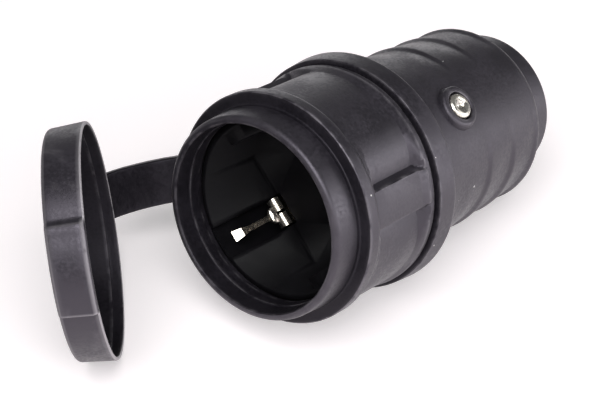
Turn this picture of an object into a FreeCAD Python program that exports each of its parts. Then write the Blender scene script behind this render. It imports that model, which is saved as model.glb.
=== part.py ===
import FreeCAD, Part
import math
import os

# Inline two-pin side-earth socket with a hinged rubber lid, lying on its side.
# Every piece is drawn on the socket's own axis: +Y runs from the mouth to the cable end,
# Y = 0 is the collar's front face. At the end all pieces tilt together onto the floor.
# Lengths are in millimetres, angles in degrees. A roll angle turns from +X towards +Z.

# Front sleeve, each radius a step or a wall away from the insert's seat
SEAT_R = 22.2
BORE_STEP = 0.8
MOUTH_STEP = 0.3
MOUTH_LEAD = 4.5
LIP_WALL = 1.8
LIP_FLARE = 0.4
LIP_LENGTH = 7.5
LIP_ROUND = 1.15
COLLAR_STEP = 2.95
COLLAR_WIDTH = 3.0
COLLAR_SLOPE = 1.2
WAIST_STEP = 0.95
WAIST_END = 20.6
FLANGE_STEP = 0.6
FLANGE_RAMP = 2.2
FLANGE_WIDTH = 1.6
SPIGOT_WALL = 1.2
SPIGOT_LENGTH = 6.5
EDGE_ROUND = 0.4

# Grip pads on the waist, each between two flat scoops
PAD_COUNT = 3
PAD_ROLL = 16.0
PAD_WIDTH = 8.4
PAD_SIDE_SLOPE = 0.5
SCOOP_DEPTH = 1.6
SCOOP_TURN = 16.0
SCOOP_SETBACK = 2.8
SCOOP_LEAD = 0.9
SCOOP_PAST = 0.5
SCOOP_RAMP = 0.9

# Socket insert
INSERT_ROLL = 45.0
INSERT_FRONT = 0.7
INSERT_RIM_STEP = 1.55
INSERT_CHAMFER = 0.9
RECESS_EDGE = 0.6
RECESS_DEPTH = 17.5
FLOOR_THICK = 5.8
FLOOR_SIDE = 5.8
FLOOR_STEP = 1.0
RETAINER_SETBACK = 5.2
RETAINER_WIDTH = 2.4
RETAINER_HEIGHT = 0.9
RIB_REACH = 2.9
RIB_WIDTH = 5.4
PIN_SPACING = 19.0
PIN_HOLE_R = 2.75
PIN_HOLE_LENGTH = 2.0

# Contacts and terminals
CONTACT_BORE_R = 2.45
CONTACT_WALL = 1.05
CONTACT_SLIT = 0.7
CONTACT_SLIT_LENGTH = 7.0
SPRING_WALL = 0.5
SPRING_LENGTH = 2.6
SPRING_SETBACK = 0.8
SPRING_GAP_DEG = 50.0
BLOCK_SIZE = 7.2
BLOCK_LENGTH = 11.0
WIRE_HOLE_R = 1.7
WIRE_HOLE_DEPTH = 7.5
TERMINAL_SCREW_R = 1.5
TERMINAL_HEAD_R = 2.7
TERMINAL_HEAD_HEIGHT = 2.0
TERMINAL_SCREW_SETBACK = 4.2
SLOT_WIDTH = 0.8

# Earth bracket
EARTH_STRIP_WIDTH = 7.0
EARTH_THICK = 0.8
CLIP_TIP_WIDTH = 2.6
CLIP_NECK_WIDTH = 1.3
CLIP_BASE_WIDTH = 3.8
CLIP_BASE_LENGTH = 1.2
CLIP_ROLL_R = 1.7
CLIP_FINGER_GAP = 0.7
CLIP_ROOT_INSET = 4.7
CLIP_TIP_INSET = 2.3
CLIP_TIP_Y = 6.0
CLIP_FLARE = 1.7
CLIP_SLOT_WIDTH = 8.0
CLIP_SLOT_DEPTH = 0.9
EARTH_BLOCK_DROP = 3.2

# Terminal carrier and strain relief
PLATE_STEP = 2.55
PLATE_THICK = 4.0
SPINE_WIDTH = 16.0
SPINE_THICK = 8.0
SPINE_STEP = 6.2
CRADLE_GAP = 6.2
CRADLE_LENGTH = 8.0
CRADLE_WIDTH = 23.0
CRADLE_STEP = 2.0
CABLE_R = 5.0
CLAMP_THICK = 7.4
CLAMP_SCREW_SPACING = 17.4
CLAMP_SCREW_R = 1.5
CLAMP_SCREW_LENGTH = 14.0
CLAMP_HEAD_R = 2.7
CLAMP_HEAD_HEIGHT = 2.0
INSERT_SCREW_X = 11.5
INSERT_SCREW_Z = 9.5
INSERT_SCREW_R = 1.4
INSERT_SCREW_REACH = 3.6
INSERT_HEAD_R = 2.6
INSERT_HEAD_HEIGHT = 1.9

# Rear hood
HOOD_GAP = 0.7
RING_STEP = 1.0
RING_RISE = 0.45
RING_RUN = 5.4
RING_FALL = 3.5
RING_ROUND = 0.8
BARREL_STEP = 0.4
BARREL_NARROWING = 1.4
BARREL_LENGTH = 43.0
BARREL_ROUND = 2.6
TAIL_STEP = 4.4
TAIL_LENGTH = 9.9
TAIL_ROUND = 0.7
HOOD_WALL = 2.8
HOOD_END_WALL = 3.4
WAVE_COUNT = 3
WAVE_SETBACK = 24.8
WAVE_PITCH = 10.7
WAVE_DEPTH = 0.95
WAVE_RUN = 8.6
WAVE_RISE = 1.8
WAVE_OFFSET = 1.5
WAVE_ROUND = 0.6

# Hood screw
HOOD_SCREW_SETBACK = 10.8
BOSS_R = 5.0
BOSS_HEIGHT = 1.1
BOSS_ROUND = 0.8
BOSS_FOOT_R = 4.8
HOOD_SCREW_R = 2.0
HOOD_HEAD_R = 3.15
HOOD_HEAD_HEIGHT = 2.1
HOOD_HEAD_SINK = 1.7
HOOD_HEAD_FIT = 0.35
CROSS_WIDTH = 0.9
CROSS_LENGTH = 3.6
CROSS_DEPTH = 1.3
NUT_SIZE = 7.0
NUT_THICK = 2.6
NUT_DEPTH = 1.6
SCREW_TIP = 1.0

# Seal and cable grommet
SEAL_WIDTH = 1.6
SEAL_HEIGHT = 2.0
GROMMET_R = 13.0
GROMMET_FLANGE = 1.6
GROMMET_FLANGE_THICK = 2.4
CABLE_ENTRY_R = 5.25

# Lid, strap and hinge line
LID_LIP_GAP = 1.8
LID_WALL = 0.9
LID_BACK_STEP = 0.7
LID_LEDGE_STEP = 0.3
LID_LEDGE_DEPTH = 2.5
LID_FLOOR_STEP = 0.25
LID_DEPTH = 8.6
LID_BACK_THICK = 1.0
LID_BACK_ROUND = 1.0
LID_LUG_HEIGHT = 1.0
LID_LUG_DEG = 46.0
LID_SEAT_GAP = 0.3
LID_OPEN_DEG = 50.2
HINGE_REACH = 16.3
HINGE_Y = 12.0
STRAP_ROLL = 15.3
STRAP_WIDTH = 11.0
STRAP_THICK = 2.0
STRAP_ROOT_SETBACK = 1.4
STRAP_ROOT_STEP = 0.7
STRAP_ROOT_DEG = 5.0
STRAP_BOW_LID = 8.2
STRAP_BOW_ROOT = 17.0
TAB_REACH = 2.0
TAB_DEPTH = 4.6

# Resting pose: turn about the socket's own axis that lays the open lid on the floor,
# and depth of the flats that the soft ring and the barrel's end rest on
REST_ROLL = 4.3
REST_FLAT = 0.25

# Clearances
FIT = 0.15
SCREW_FIT = 0.1
OVERLAP = 0.6
CUT_PAST = 1.0
JOINED = 1e-6

# Sleeve and lid values that follow from the sizes above
BORE_R = SEAT_R - BORE_STEP
MOUTH_R = BORE_R + MOUTH_STEP
LIP_R = MOUTH_R + LIP_WALL
LIP_ROOT_R = LIP_R + LIP_FLARE
COLLAR_R = LIP_ROOT_R + COLLAR_STEP
WAIST_R = COLLAR_R - WAIST_STEP
FLANGE_R = WAIST_R + FLANGE_STEP
FLANGE_BACK = WAIST_END + FLANGE_RAMP + FLANGE_WIDTH
SPIGOT_R = SEAT_R + SPIGOT_WALL
SPIGOT_END = FLANGE_BACK + SPIGOT_LENGTH
SCOOP_FLAT = WAIST_R - SCOOP_DEPTH
SCOOP_FRONT = COLLAR_WIDTH + SCOOP_SETBACK
SCOOP_BACK = WAIST_END + SCOOP_PAST
LID_RIM_R = LIP_R + LID_LIP_GAP
LID_R = LID_RIM_R + LID_WALL
LID_BACK_R = LID_R - LID_BACK_STEP
LID_LEDGE_R = LID_RIM_R - LID_LEDGE_STEP
LID_FLOOR_R = LID_LEDGE_R - LID_FLOOR_STEP
HINGE_OUT = WAIST_R + HINGE_REACH
STRAP_ROOT_OUT = WAIST_R + STRAP_ROOT_STEP
STRAP_ROOT_Y = WAIST_END - STRAP_ROOT_SETBACK

# Hood values
HOOD_FRONT = FLANGE_BACK + HOOD_GAP
RING_FRONT_R = FLANGE_R + RING_STEP
RING_R = RING_FRONT_R + RING_RISE
RING_Y = HOOD_FRONT + RING_RUN
RING_BACK = RING_Y + RING_FALL
BARREL_FRONT_R = SPIGOT_R + BARREL_STEP
BARREL_END_R = BARREL_FRONT_R - BARREL_NARROWING
BARREL_END = RING_BACK + BARREL_LENGTH
BARREL_TAPER = BARREL_NARROWING / BARREL_LENGTH
TAIL_R = BARREL_END_R - TAIL_STEP
TAIL_END = BARREL_END + TAIL_LENGTH
HOOD_BORE_R = SPIGOT_R + FIT
HOOD_END_IN = BARREL_END - HOOD_END_WALL
WAVE_FIRST = BARREL_END - WAVE_SETBACK
GROMMET_BORE_R = GROMMET_R + FIT
GROMMET_FRONT = HOOD_END_IN - GROMMET_FLANGE_THICK
HOOD_SCREW_Y = RING_BACK + HOOD_SCREW_SETBACK
BOSS_TOP = BARREL_FRONT_R + BOSS_HEIGHT
HOOD_HEAD_SEAT = BOSS_TOP - HOOD_HEAD_SINK

# Insert, contact and carrier values
INSERT_R = SEAT_R - FIT
INSERT_RIM_R = INSERT_R - INSERT_RIM_STEP
RECESS_R = INSERT_RIM_R - RECESS_EDGE
RECESS_FLOOR = INSERT_FRONT + RECESS_DEPTH
INSERT_BACK = RECESS_FLOOR + FLOOR_THICK
FLOOR_CHORD = RECESS_R - FLOOR_SIDE
RETAINER_Y = INSERT_BACK - RETAINER_SETBACK
PIN_X = PIN_SPACING / 2
CONTACT_R = CONTACT_BORE_R + CONTACT_WALL
CONTACT_FRONT = RECESS_FLOOR + PIN_HOLE_LENGTH + FIT
SPRING_IN_R = CONTACT_R + FIT / 2
SPRING_OUT_R = SPRING_IN_R + SPRING_WALL
CAVITY_R = SPRING_OUT_R + FIT
CLIP_ROOT_REACH = RECESS_R - CLIP_ROOT_INSET
CLIP_TIP_REACH = RECESS_R - CLIP_TIP_INSET
PLATE_R = INSERT_R - PLATE_STEP
PLATE_BACK = INSERT_BACK + PLATE_THICK
BLOCK_END = PLATE_BACK + BLOCK_LENGTH
TERMINAL_SCREW_Y = BLOCK_END - TERMINAL_SCREW_SETBACK
EARTH_BLOCK_TOP = -EARTH_BLOCK_DROP
SPINE_TOP = SEAT_R - SPINE_STEP
SPINE_BOTTOM = SPINE_TOP - SPINE_THICK
CRADLE_END = GROMMET_FRONT - CRADLE_GAP
CRADLE_Y = CRADLE_END - CRADLE_LENGTH
CRADLE_TOP = SPINE_TOP - CRADLE_STEP
NUT_TOP = SPINE_TOP - NUT_DEPTH

# Resting pose on the ring and the barrel's end
REST_CONTACT_Y = BARREL_END - BARREL_ROUND
REST_CONTACT_R = BARREL_END_R + BARREL_TAPER * BARREL_ROUND
REST_SLOPE = math.atan2(RING_R - REST_CONTACT_R, REST_CONTACT_Y - RING_Y)
REST_TILT = math.degrees(REST_SLOPE)
REST_FLOOR = REST_FLAT - RING_R * math.cos(REST_SLOPE) - RING_Y * math.sin(REST_SLOPE)

ORIGIN = FreeCAD.Vector(0, 0, 0)
ALONG_X = FreeCAD.Vector(1, 0, 0)
ALONG_Y = FreeCAD.Vector(0, 1, 0)
ALONG_Z = FreeCAD.Vector(0, 0, 1)
ROLL_AXIS = FreeCAD.Vector(0, -1, 0)


def rounded_wire(corners):
    """Closed outline in the XY plane from (x, y, corner radius) points."""
    runs = []
    count = len(corners)
    for i in range(count):
        before = FreeCAD.Vector(*corners[i - 1][:2], 0)
        here = FreeCAD.Vector(*corners[i][:2], 0)
        after = FreeCAD.Vector(*corners[(i + 1) % count][:2], 0)
        radius = corners[i][2]
        into = (before - here).normalize()
        away = (after - here).normalize()
        if radius == 0:
            runs.append((here, None, here))
            continue
        half = into.getAngle(away) / 2
        reach = radius / math.tan(half)
        bisector = (into + away).normalize()
        middle = here + bisector * (radius / math.sin(half) - radius)
        runs.append((here + into * reach, middle, here + away * reach))
    edges = []
    for i in range(count):
        start, middle, end = runs[i]
        if middle is not None:
            edges.append(Part.Arc(start, middle, end).toShape())
        following = runs[(i + 1) % count][0]
        if end.distanceToPoint(following) > JOINED:
            edges.append(Part.LineSegment(end, following).toShape())
    return Part.Wire(edges)


def turned(corners):
    """Solid of revolution about the Y axis from (radius, y, corner radius) points."""
    return Part.Face(rounded_wire(corners)).revolve(ORIGIN, ALONG_Y, 360)


def tube(outer_r, inner_r, y_start, y_end):
    """Plain ring on the Y axis."""
    return bar(outer_r, y_start, y_end).cut(bar(inner_r, y_start - CUT_PAST, y_end + CUT_PAST))


def bar(radius, y_start, y_end, x=0, z=0):
    """Round bar along Y."""
    return Part.makeCylinder(radius, y_end - y_start, FreeCAD.Vector(x, y_start, z), ALONG_Y)


def post(radius, z_start, z_end, y, x=0):
    """Round post along Z."""
    return Part.makeCylinder(radius, z_end - z_start, FreeCAD.Vector(x, y, z_start), ALONG_Z)


def block(x_range, y_range, z_range):
    """Box between three pairs of limits."""
    sides = [high - low for low, high in (x_range, y_range, z_range)]
    corner = FreeCAD.Vector(x_range[0], y_range[0], z_range[0])
    return Part.makeBox(*sides, corner)


def rolled(shape, angle):
    """Copy of a shape turned about the socket's axis, from +X towards +Z."""
    copy = shape.copy()
    copy.rotate(ORIGIN, ROLL_AXIS, angle)
    return copy


def mirrored_x(shape):
    """Copy of a shape mirrored from +X to -X."""
    return shape.mirror(ORIGIN, ALONG_X)


def half_turn(shape):
    """Copy of a shape turned half way round the socket's axis."""
    return rolled(shape, 180)


def barrel_r(y):
    """Outer radius of the hood's tapering barrel."""
    return BARREL_FRONT_R - BARREL_TAPER * (y - RING_BACK)


def slotted_screw(shank_r, shank_length, head_r, head_height):
    """Cheese-head screw, its head on the plane Z = 0 and its shank below."""
    head = post(head_r, 0, head_height, 0)
    half = SLOT_WIDTH / 2
    slot = block((-head_r, head_r), (-half, half), (head_height / 2, head_height + CUT_PAST))
    return head.fuse(post(shank_r, -shank_length, 0, 0)).cut(slot).removeSplitter()


def grip_scoops():
    """Cutters for the flat scoops that leave the grip pads standing on the waist."""
    high = FLANGE_R + CUT_PAST
    rise = high - SCOOP_FLAT
    wedge = Part.Face(Part.makePolygon([
        FreeCAD.Vector(0, 0, -PAD_WIDTH / 2 - PAD_SIDE_SLOPE * WAIST_R),
        FreeCAD.Vector(high, 0, -PAD_WIDTH / 2 + PAD_SIDE_SLOPE * (high - WAIST_R)),
        FreeCAD.Vector(high, 0, PAD_WIDTH / 2 - PAD_SIDE_SLOPE * (high - WAIST_R)),
        FreeCAD.Vector(0, 0, PAD_WIDTH / 2 + PAD_SIDE_SLOPE * WAIST_R),
        FreeCAD.Vector(0, 0, -PAD_WIDTH / 2 - PAD_SIDE_SLOPE * WAIST_R),
    ])).extrude(FreeCAD.Vector(0, FLANGE_BACK, 0))
    side = Part.Face(Part.makePolygon([
        FreeCAD.Vector(SCOOP_FLAT, SCOOP_FRONT, -high),
        FreeCAD.Vector(SCOOP_FLAT, SCOOP_BACK, -high),
        FreeCAD.Vector(high, SCOOP_BACK + SCOOP_RAMP * rise, -high),
        FreeCAD.Vector(high, SCOOP_FRONT - SCOOP_LEAD * rise, -high),
        FreeCAD.Vector(SCOOP_FLAT, SCOOP_FRONT, -high),
    ])).extrude(FreeCAD.Vector(0, 0, 2 * high))
    pair = [rolled(side, turn).cut(wedge) for turn in (-SCOOP_TURN, SCOOP_TURN)]
    places = [PAD_ROLL + 360 / PAD_COUNT * i for i in range(PAD_COUNT)]
    return [rolled(scoop, place) for place in places for scoop in pair]


def strap_root():
    """Flat lug on the waist that the strap grows from, in the strap's own plane."""
    reach = STRAP_ROOT_OUT - WAIST_R + 2 * OVERLAP
    lug = block((-reach, 0), (-STRAP_THICK / 2, STRAP_THICK / 2), (-STRAP_WIDTH / 2, STRAP_WIDTH / 2))
    lug.translate(FreeCAD.Vector(reach, 0, 0))
    lug.rotate(ORIGIN, ALONG_Z, STRAP_ROOT_DEG)
    lug.translate(FreeCAD.Vector(-STRAP_ROOT_OUT, STRAP_ROOT_Y, 0))
    return lug


def socket_sleeve():
    """Front rubber sleeve: lip, collar, gripped waist, rear flange and spigot."""
    retainer_r = SEAT_R + RETAINER_HEIGHT
    shell = turned([
        (MOUTH_R, -LIP_LENGTH, EDGE_ROUND),
        (LIP_R, -LIP_LENGTH, LIP_ROUND),
        (LIP_ROOT_R, 0, EDGE_ROUND),
        (COLLAR_R, 0, EDGE_ROUND),
        (COLLAR_R, COLLAR_WIDTH, 2 * EDGE_ROUND),
        (WAIST_R, COLLAR_WIDTH + COLLAR_SLOPE, 2 * EDGE_ROUND),
        (WAIST_R, WAIST_END, 2 * EDGE_ROUND),
        (FLANGE_R, WAIST_END + FLANGE_RAMP, EDGE_ROUND),
        (FLANGE_R, FLANGE_BACK, EDGE_ROUND),
        (SPIGOT_R, FLANGE_BACK, 0),
        (SPIGOT_R, SPIGOT_END, EDGE_ROUND),
        (SEAT_R, SPIGOT_END, 0),
        (SEAT_R, RETAINER_Y + RETAINER_WIDTH, 0),
        (retainer_r, RETAINER_Y + RETAINER_WIDTH, 0),
        (retainer_r, RETAINER_Y, 0),
        (SEAT_R, RETAINER_Y, 0),
        (SEAT_R, 0, 0),
        (BORE_R, 0, 0),
        (BORE_R, MOUTH_LEAD - LIP_LENGTH, 0),
        (MOUTH_R, MOUTH_LEAD - LIP_LENGTH, 0),
    ])
    lug = rolled(strap_root(), STRAP_ROLL)
    bore = bar(SEAT_R + OVERLAP, -LIP_LENGTH, SPIGOT_END)
    return shell.cut(grip_scoops()).fuse(lug.cut(bore)).removeSplitter()


def socket_insert():
    """Moulded insert: plug recess with guide ribs, pin holes and slots for the earth clips."""
    retainer_r = INSERT_R + RETAINER_HEIGHT - FIT
    body = turned([
        (0, RECESS_FLOOR, 0),
        (RECESS_R, RECESS_FLOOR, 0),
        (RECESS_R, INSERT_FRONT, 0),
        (INSERT_RIM_R, INSERT_FRONT, 0),
        (INSERT_R, INSERT_FRONT + INSERT_CHAMFER, 0),
        (INSERT_R, RETAINER_Y + FIT, 0),
        (retainer_r, RETAINER_Y + FIT, 0),
        (retainer_r, RETAINER_Y + RETAINER_WIDTH - FIT, 0),
        (INSERT_R, RETAINER_Y + RETAINER_WIDTH - FIT, 0),
        (INSERT_R, INSERT_BACK, 0),
        (0, INSERT_BACK, 0),
    ])
    wall = RECESS_R + (INSERT_RIM_R - RECESS_R) / 2
    rib = block((RECESS_R - RIB_REACH, wall), (INSERT_FRONT + INSERT_CHAMFER, RECESS_FLOOR + OVERLAP),
                (-RIB_WIDTH / 2, RIB_WIDTH / 2))
    rib = rib.common(bar(wall, 0, INSERT_BACK))
    step = bar(wall, RECESS_FLOOR - FLOOR_STEP, RECESS_FLOOR + OVERLAP)
    step = step.cut(block((-INSERT_R, INSERT_R), (0, INSERT_BACK), (-INSERT_R, FLOOR_CHORD)))
    body = body.fuse([rib, half_turn(rib), step, half_turn(step)])
    half_slot = CLIP_SLOT_WIDTH / 2
    floor_near = CLIP_ROOT_REACH - CLIP_ROLL_R - 3 * FIT
    slot = block((-half_slot, half_slot), (INSERT_FRONT - CUT_PAST, INSERT_BACK + CUT_PAST),
                 (floor_near, RECESS_R + CLIP_SLOT_DEPTH))
    cuts = [slot, half_turn(slot)]
    for x in (-PIN_X, PIN_X):
        cuts.append(bar(PIN_HOLE_R, RECESS_FLOOR - CUT_PAST, INSERT_BACK, x))
        cuts.append(bar(CAVITY_R, RECESS_FLOOR + PIN_HOLE_LENGTH, INSERT_BACK + CUT_PAST, x))
    hole_front = INSERT_BACK - INSERT_SCREW_REACH - FIT
    hole = bar(INSERT_SCREW_R + SCREW_FIT, hole_front, INSERT_BACK + CUT_PAST, INSERT_SCREW_X, INSERT_SCREW_Z)
    return body.cut(cuts + [hole, half_turn(hole)]).removeSplitter()


def pin_contact(side):
    """Slit brass tube for one pin, with its terminal block behind the carrier's plate."""
    x = side * PIN_X
    half = BLOCK_SIZE / 2
    sleeve = bar(CONTACT_R, CONTACT_FRONT, PLATE_BACK + OVERLAP, x)
    head = block((x - half, x + half), (PLATE_BACK, BLOCK_END), (-half, half))
    slit_end = CONTACT_FRONT + CONTACT_SLIT_LENGTH
    slit = block((x - CAVITY_R, x + CAVITY_R), (CONTACT_FRONT - CUT_PAST, slit_end),
                 (-CONTACT_SLIT / 2, CONTACT_SLIT / 2))
    cuts = [
        bar(CONTACT_BORE_R, CONTACT_FRONT - CUT_PAST, PLATE_BACK, x),
        bar(WIRE_HOLE_R, BLOCK_END - WIRE_HOLE_DEPTH, BLOCK_END + CUT_PAST, x),
        post(TERMINAL_SCREW_R + SCREW_FIT, 0, half + CUT_PAST, TERMINAL_SCREW_Y, x),
        slit,
    ]
    return sleeve.fuse(head).cut(cuts).removeSplitter()


def contact_spring(side):
    """Open steel ring that grips one slit contact."""
    start = CONTACT_FRONT + SPRING_SETBACK
    ring = tube(SPRING_OUT_R, SPRING_IN_R, start, start + SPRING_LENGTH)
    reach = 2 * SPRING_OUT_R
    half_angle = math.radians(SPRING_GAP_DEG / 2)
    gap = Part.makePolygon([
        FreeCAD.Vector(0, start - CUT_PAST, 0),
        FreeCAD.Vector(reach * math.sin(half_angle), start - CUT_PAST, reach * math.cos(half_angle)),
        FreeCAD.Vector(-reach * math.sin(half_angle), start - CUT_PAST, reach * math.cos(half_angle)),
        FreeCAD.Vector(0, start - CUT_PAST, 0),
    ])
    ring = ring.cut(Part.Face(gap).extrude(FreeCAD.Vector(0, SPRING_LENGTH + 2 * CUT_PAST, 0)))
    ring.translate(FreeCAD.Vector(side * PIN_X, 0, 0))
    return ring


def terminal_screw(x, z_face, flip=False):
    """Wire screw of one terminal, its head on the face at that height."""
    length = BLOCK_SIZE / 2 - WIRE_HOLE_R / 2
    screw = slotted_screw(TERMINAL_SCREW_R, length, TERMINAL_HEAD_R, TERMINAL_HEAD_HEIGHT)
    if flip:
        screw.rotate(ORIGIN, ALONG_Y, 180)
    screw.translate(FreeCAD.Vector(x, TERMINAL_SCREW_Y, z_face))
    return screw


def earth_clip():
    """Spring tongue and split roll of one earth clip, on the +Z side."""
    floor = INSERT_BACK
    outer = CLIP_ROOT_REACH + CLIP_ROLL_R
    inner = outer - EARTH_THICK
    half = EARTH_STRIP_WIDTH / 2
    leg = block((-half, half), (RECESS_FLOOR, floor + EARTH_THICK), (inner, outer))
    roll_y = RECESS_FLOOR - CLIP_ROLL_R / 2
    roll = Part.makeCylinder(CLIP_ROLL_R, EARTH_STRIP_WIDTH,
                             FreeCAD.Vector(-half, roll_y, CLIP_ROOT_REACH), ALONG_X)
    hollow = Part.makeCylinder(CLIP_ROLL_R - EARTH_THICK, EARTH_STRIP_WIDTH + 2 * CUT_PAST,
                               FreeCAD.Vector(-half - CUT_PAST, roll_y, CLIP_ROOT_REACH), ALONG_X)
    opening = block((-half - CUT_PAST, half + CUT_PAST), (roll_y, floor), (0, inner))
    gap = block((-CLIP_FINGER_GAP / 2, CLIP_FINGER_GAP / 2), (0, RECESS_FLOOR), (0, CLIP_ROOT_REACH))
    roll = roll.cut([hollow, opening, gap])
    root_y = roll_y - CLIP_ROLL_R + EARTH_THICK / 2
    flare_y = CLIP_TIP_Y - CLIP_FLARE
    flare_reach = CLIP_TIP_REACH + CLIP_FLARE
    tongue = Part.makePolygon([
        FreeCAD.Vector(0, root_y, CLIP_ROOT_REACH),
        FreeCAD.Vector(0, CLIP_TIP_Y, CLIP_TIP_REACH),
        FreeCAD.Vector(0, flare_y, flare_reach),
        FreeCAD.Vector(0, flare_y + EARTH_THICK, flare_reach + EARTH_THICK / 2),
        FreeCAD.Vector(0, CLIP_TIP_Y + EARTH_THICK, CLIP_TIP_REACH + EARTH_THICK),
        FreeCAD.Vector(0, root_y, CLIP_ROOT_REACH + EARTH_THICK),
        FreeCAD.Vector(0, root_y, CLIP_ROOT_REACH),
    ])
    tongue = Part.Face(tongue).extrude(FreeCAD.Vector(EARTH_STRIP_WIDTH, 0, 0))
    tongue.translate(FreeCAD.Vector(-half, 0, 0))
    base, neck, tip = CLIP_BASE_WIDTH / 2, CLIP_NECK_WIDTH / 2, CLIP_TIP_WIDTH / 2
    base_y = root_y - CLIP_BASE_LENGTH
    fan_y = CLIP_TIP_Y + CLIP_FLARE
    right = [(base, root_y), (base, base_y), (neck, base_y - CLIP_BASE_LENGTH), (neck, fan_y), (tip, flare_y)]
    left = [(-x, y) for x, y in reversed(right)]
    plan = Part.makePolygon([FreeCAD.Vector(x, y, 0) for x, y in right + left + right[:1]])
    tongue = tongue.common(Part.Face(plan).extrude(FreeCAD.Vector(0, 0, RECESS_R)))
    return leg.fuse([roll, tongue])


def earth_bracket():
    """One folded strip: two side clips, the cross strip behind the recess and the wire tab."""
    half = EARTH_STRIP_WIDTH / 2
    reach = CLIP_ROOT_REACH + CLIP_ROLL_R
    strip = block((-half, half), (INSERT_BACK, INSERT_BACK + EARTH_THICK), (-reach, reach))
    tab = block((-half, half), (INSERT_BACK, BLOCK_END), (EARTH_BLOCK_TOP, EARTH_BLOCK_TOP + EARTH_THICK))
    clip = earth_clip()
    return strip.fuse([tab, clip, half_turn(clip)]).removeSplitter()


def earth_terminal():
    """Brass block under the earth bracket's wire tab."""
    half = BLOCK_SIZE / 2
    body = block((-half, half), (PLATE_BACK, BLOCK_END), (EARTH_BLOCK_TOP - BLOCK_SIZE, EARTH_BLOCK_TOP))
    middle = EARTH_BLOCK_TOP - half
    cuts = [
        bar(WIRE_HOLE_R, BLOCK_END - WIRE_HOLE_DEPTH, BLOCK_END + CUT_PAST, 0, middle),
        post(TERMINAL_SCREW_R + SCREW_FIT, EARTH_BLOCK_TOP - BLOCK_SIZE - CUT_PAST, middle, TERMINAL_SCREW_Y),
    ]
    return body.cut(cuts)


def terminal_carrier():
    """Rear plate of the insert with the spine that holds the hood's nut and the cord cradle."""
    plate = bar(PLATE_R, INSERT_BACK, PLATE_BACK)
    half = SPINE_WIDTH / 2
    spine = block((-half, half), (PLATE_BACK - OVERLAP, CRADLE_END), (SPINE_BOTTOM, SPINE_TOP))
    half_cradle = CRADLE_WIDTH / 2
    cradle = block((-half_cradle, half_cradle), (CRADLE_Y, CRADLE_END), (0, CRADLE_TOP))
    body = plate.fuse([spine, cradle])
    strip = EARTH_STRIP_WIDTH / 2 + FIT
    reach = CLIP_ROOT_REACH + CLIP_ROLL_R + FIT
    nut = NUT_SIZE / 2 + FIT
    cuts = [
        block((-strip, strip), (INSERT_BACK - CUT_PAST, INSERT_BACK + EARTH_THICK), (-reach, reach)),
        block((-strip, strip), (INSERT_BACK, PLATE_BACK + CUT_PAST),
              (EARTH_BLOCK_TOP, EARTH_BLOCK_TOP + EARTH_THICK + FIT)),
        bar(CABLE_R + FIT, CRADLE_Y - CUT_PAST, CRADLE_END + CUT_PAST),
        post(HOOD_SCREW_R + SCREW_FIT, SPINE_BOTTOM - CUT_PAST, SPINE_TOP + CUT_PAST, HOOD_SCREW_Y),
        block((-nut, half + CUT_PAST), (HOOD_SCREW_Y - nut, HOOD_SCREW_Y + nut),
              (NUT_TOP - NUT_THICK, NUT_TOP)),
    ]
    for x in (-PIN_X, PIN_X):
        cuts.append(bar(CONTACT_R + FIT, INSERT_BACK - CUT_PAST, PLATE_BACK + CUT_PAST, x))
    for x in (-CLAMP_SCREW_SPACING / 2, CLAMP_SCREW_SPACING / 2):
        depth = CLAMP_SCREW_LENGTH - CLAMP_THICK + FIT
        cuts.append(post(CLAMP_SCREW_R + SCREW_FIT, -CUT_PAST, depth, CRADLE_Y + CRADLE_LENGTH / 2, x))
    hole = bar(INSERT_SCREW_R + SCREW_FIT, INSERT_BACK - CUT_PAST, PLATE_BACK + CUT_PAST,
               INSERT_SCREW_X, INSERT_SCREW_Z)
    return body.cut(cuts + [hole, half_turn(hole)]).removeSplitter()


def insert_screws():
    """Two screws that hold the carrier to the insert."""
    screw = slotted_screw(INSERT_SCREW_R, PLATE_THICK + INSERT_SCREW_REACH, INSERT_HEAD_R, INSERT_HEAD_HEIGHT)
    screw.rotate(ORIGIN, ALONG_X, -90)
    screw.translate(FreeCAD.Vector(INSERT_SCREW_X, PLATE_BACK, INSERT_SCREW_Z))
    return Part.makeCompound([screw, half_turn(screw)])


def cord_clamp():
    """Bar that presses the cord into the carrier's cradle."""
    half = CRADLE_WIDTH / 2
    middle = CRADLE_Y + CRADLE_LENGTH / 2
    body = block((-half, half), (CRADLE_Y, CRADLE_END), (-CLAMP_THICK, 0))
    cuts = [bar(CABLE_R + FIT, CRADLE_Y - CUT_PAST, CRADLE_END + CUT_PAST)]
    for x in (-CLAMP_SCREW_SPACING / 2, CLAMP_SCREW_SPACING / 2):
        cuts.append(post(CLAMP_SCREW_R + SCREW_FIT, -CLAMP_THICK - CUT_PAST, CUT_PAST, middle, x))
    return body.cut(cuts)


def cord_clamp_screws():
    """Two screws of the cord clamp."""
    screw = slotted_screw(CLAMP_SCREW_R, CLAMP_SCREW_LENGTH, CLAMP_HEAD_R, CLAMP_HEAD_HEIGHT)
    screw.rotate(ORIGIN, ALONG_Y, 180)
    screw.translate(FreeCAD.Vector(CLAMP_SCREW_SPACING / 2, CRADLE_Y + CRADLE_LENGTH / 2, -CLAMP_THICK))
    return Part.makeCompound([screw, mirrored_x(screw)])


def grip_wave(y, side_roll):
    """Cutter for one crescent wave of the hood's grip, deepest at the given roll angle."""
    floor = barrel_r(y) - WAVE_DEPTH + WAVE_OFFSET
    outside = barrel_r(y) + WAVE_OFFSET + OVERLAP
    climb = (outside - floor) / WAVE_DEPTH
    cutter = turned([
        (floor, y, WAVE_ROUND),
        (outside, y + WAVE_RISE * climb, 0),
        (outside, y - WAVE_RUN * climb, 0),
    ])
    cutter.translate(FreeCAD.Vector(-WAVE_OFFSET, 0, 0))
    return rolled(cutter, side_roll)


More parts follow.
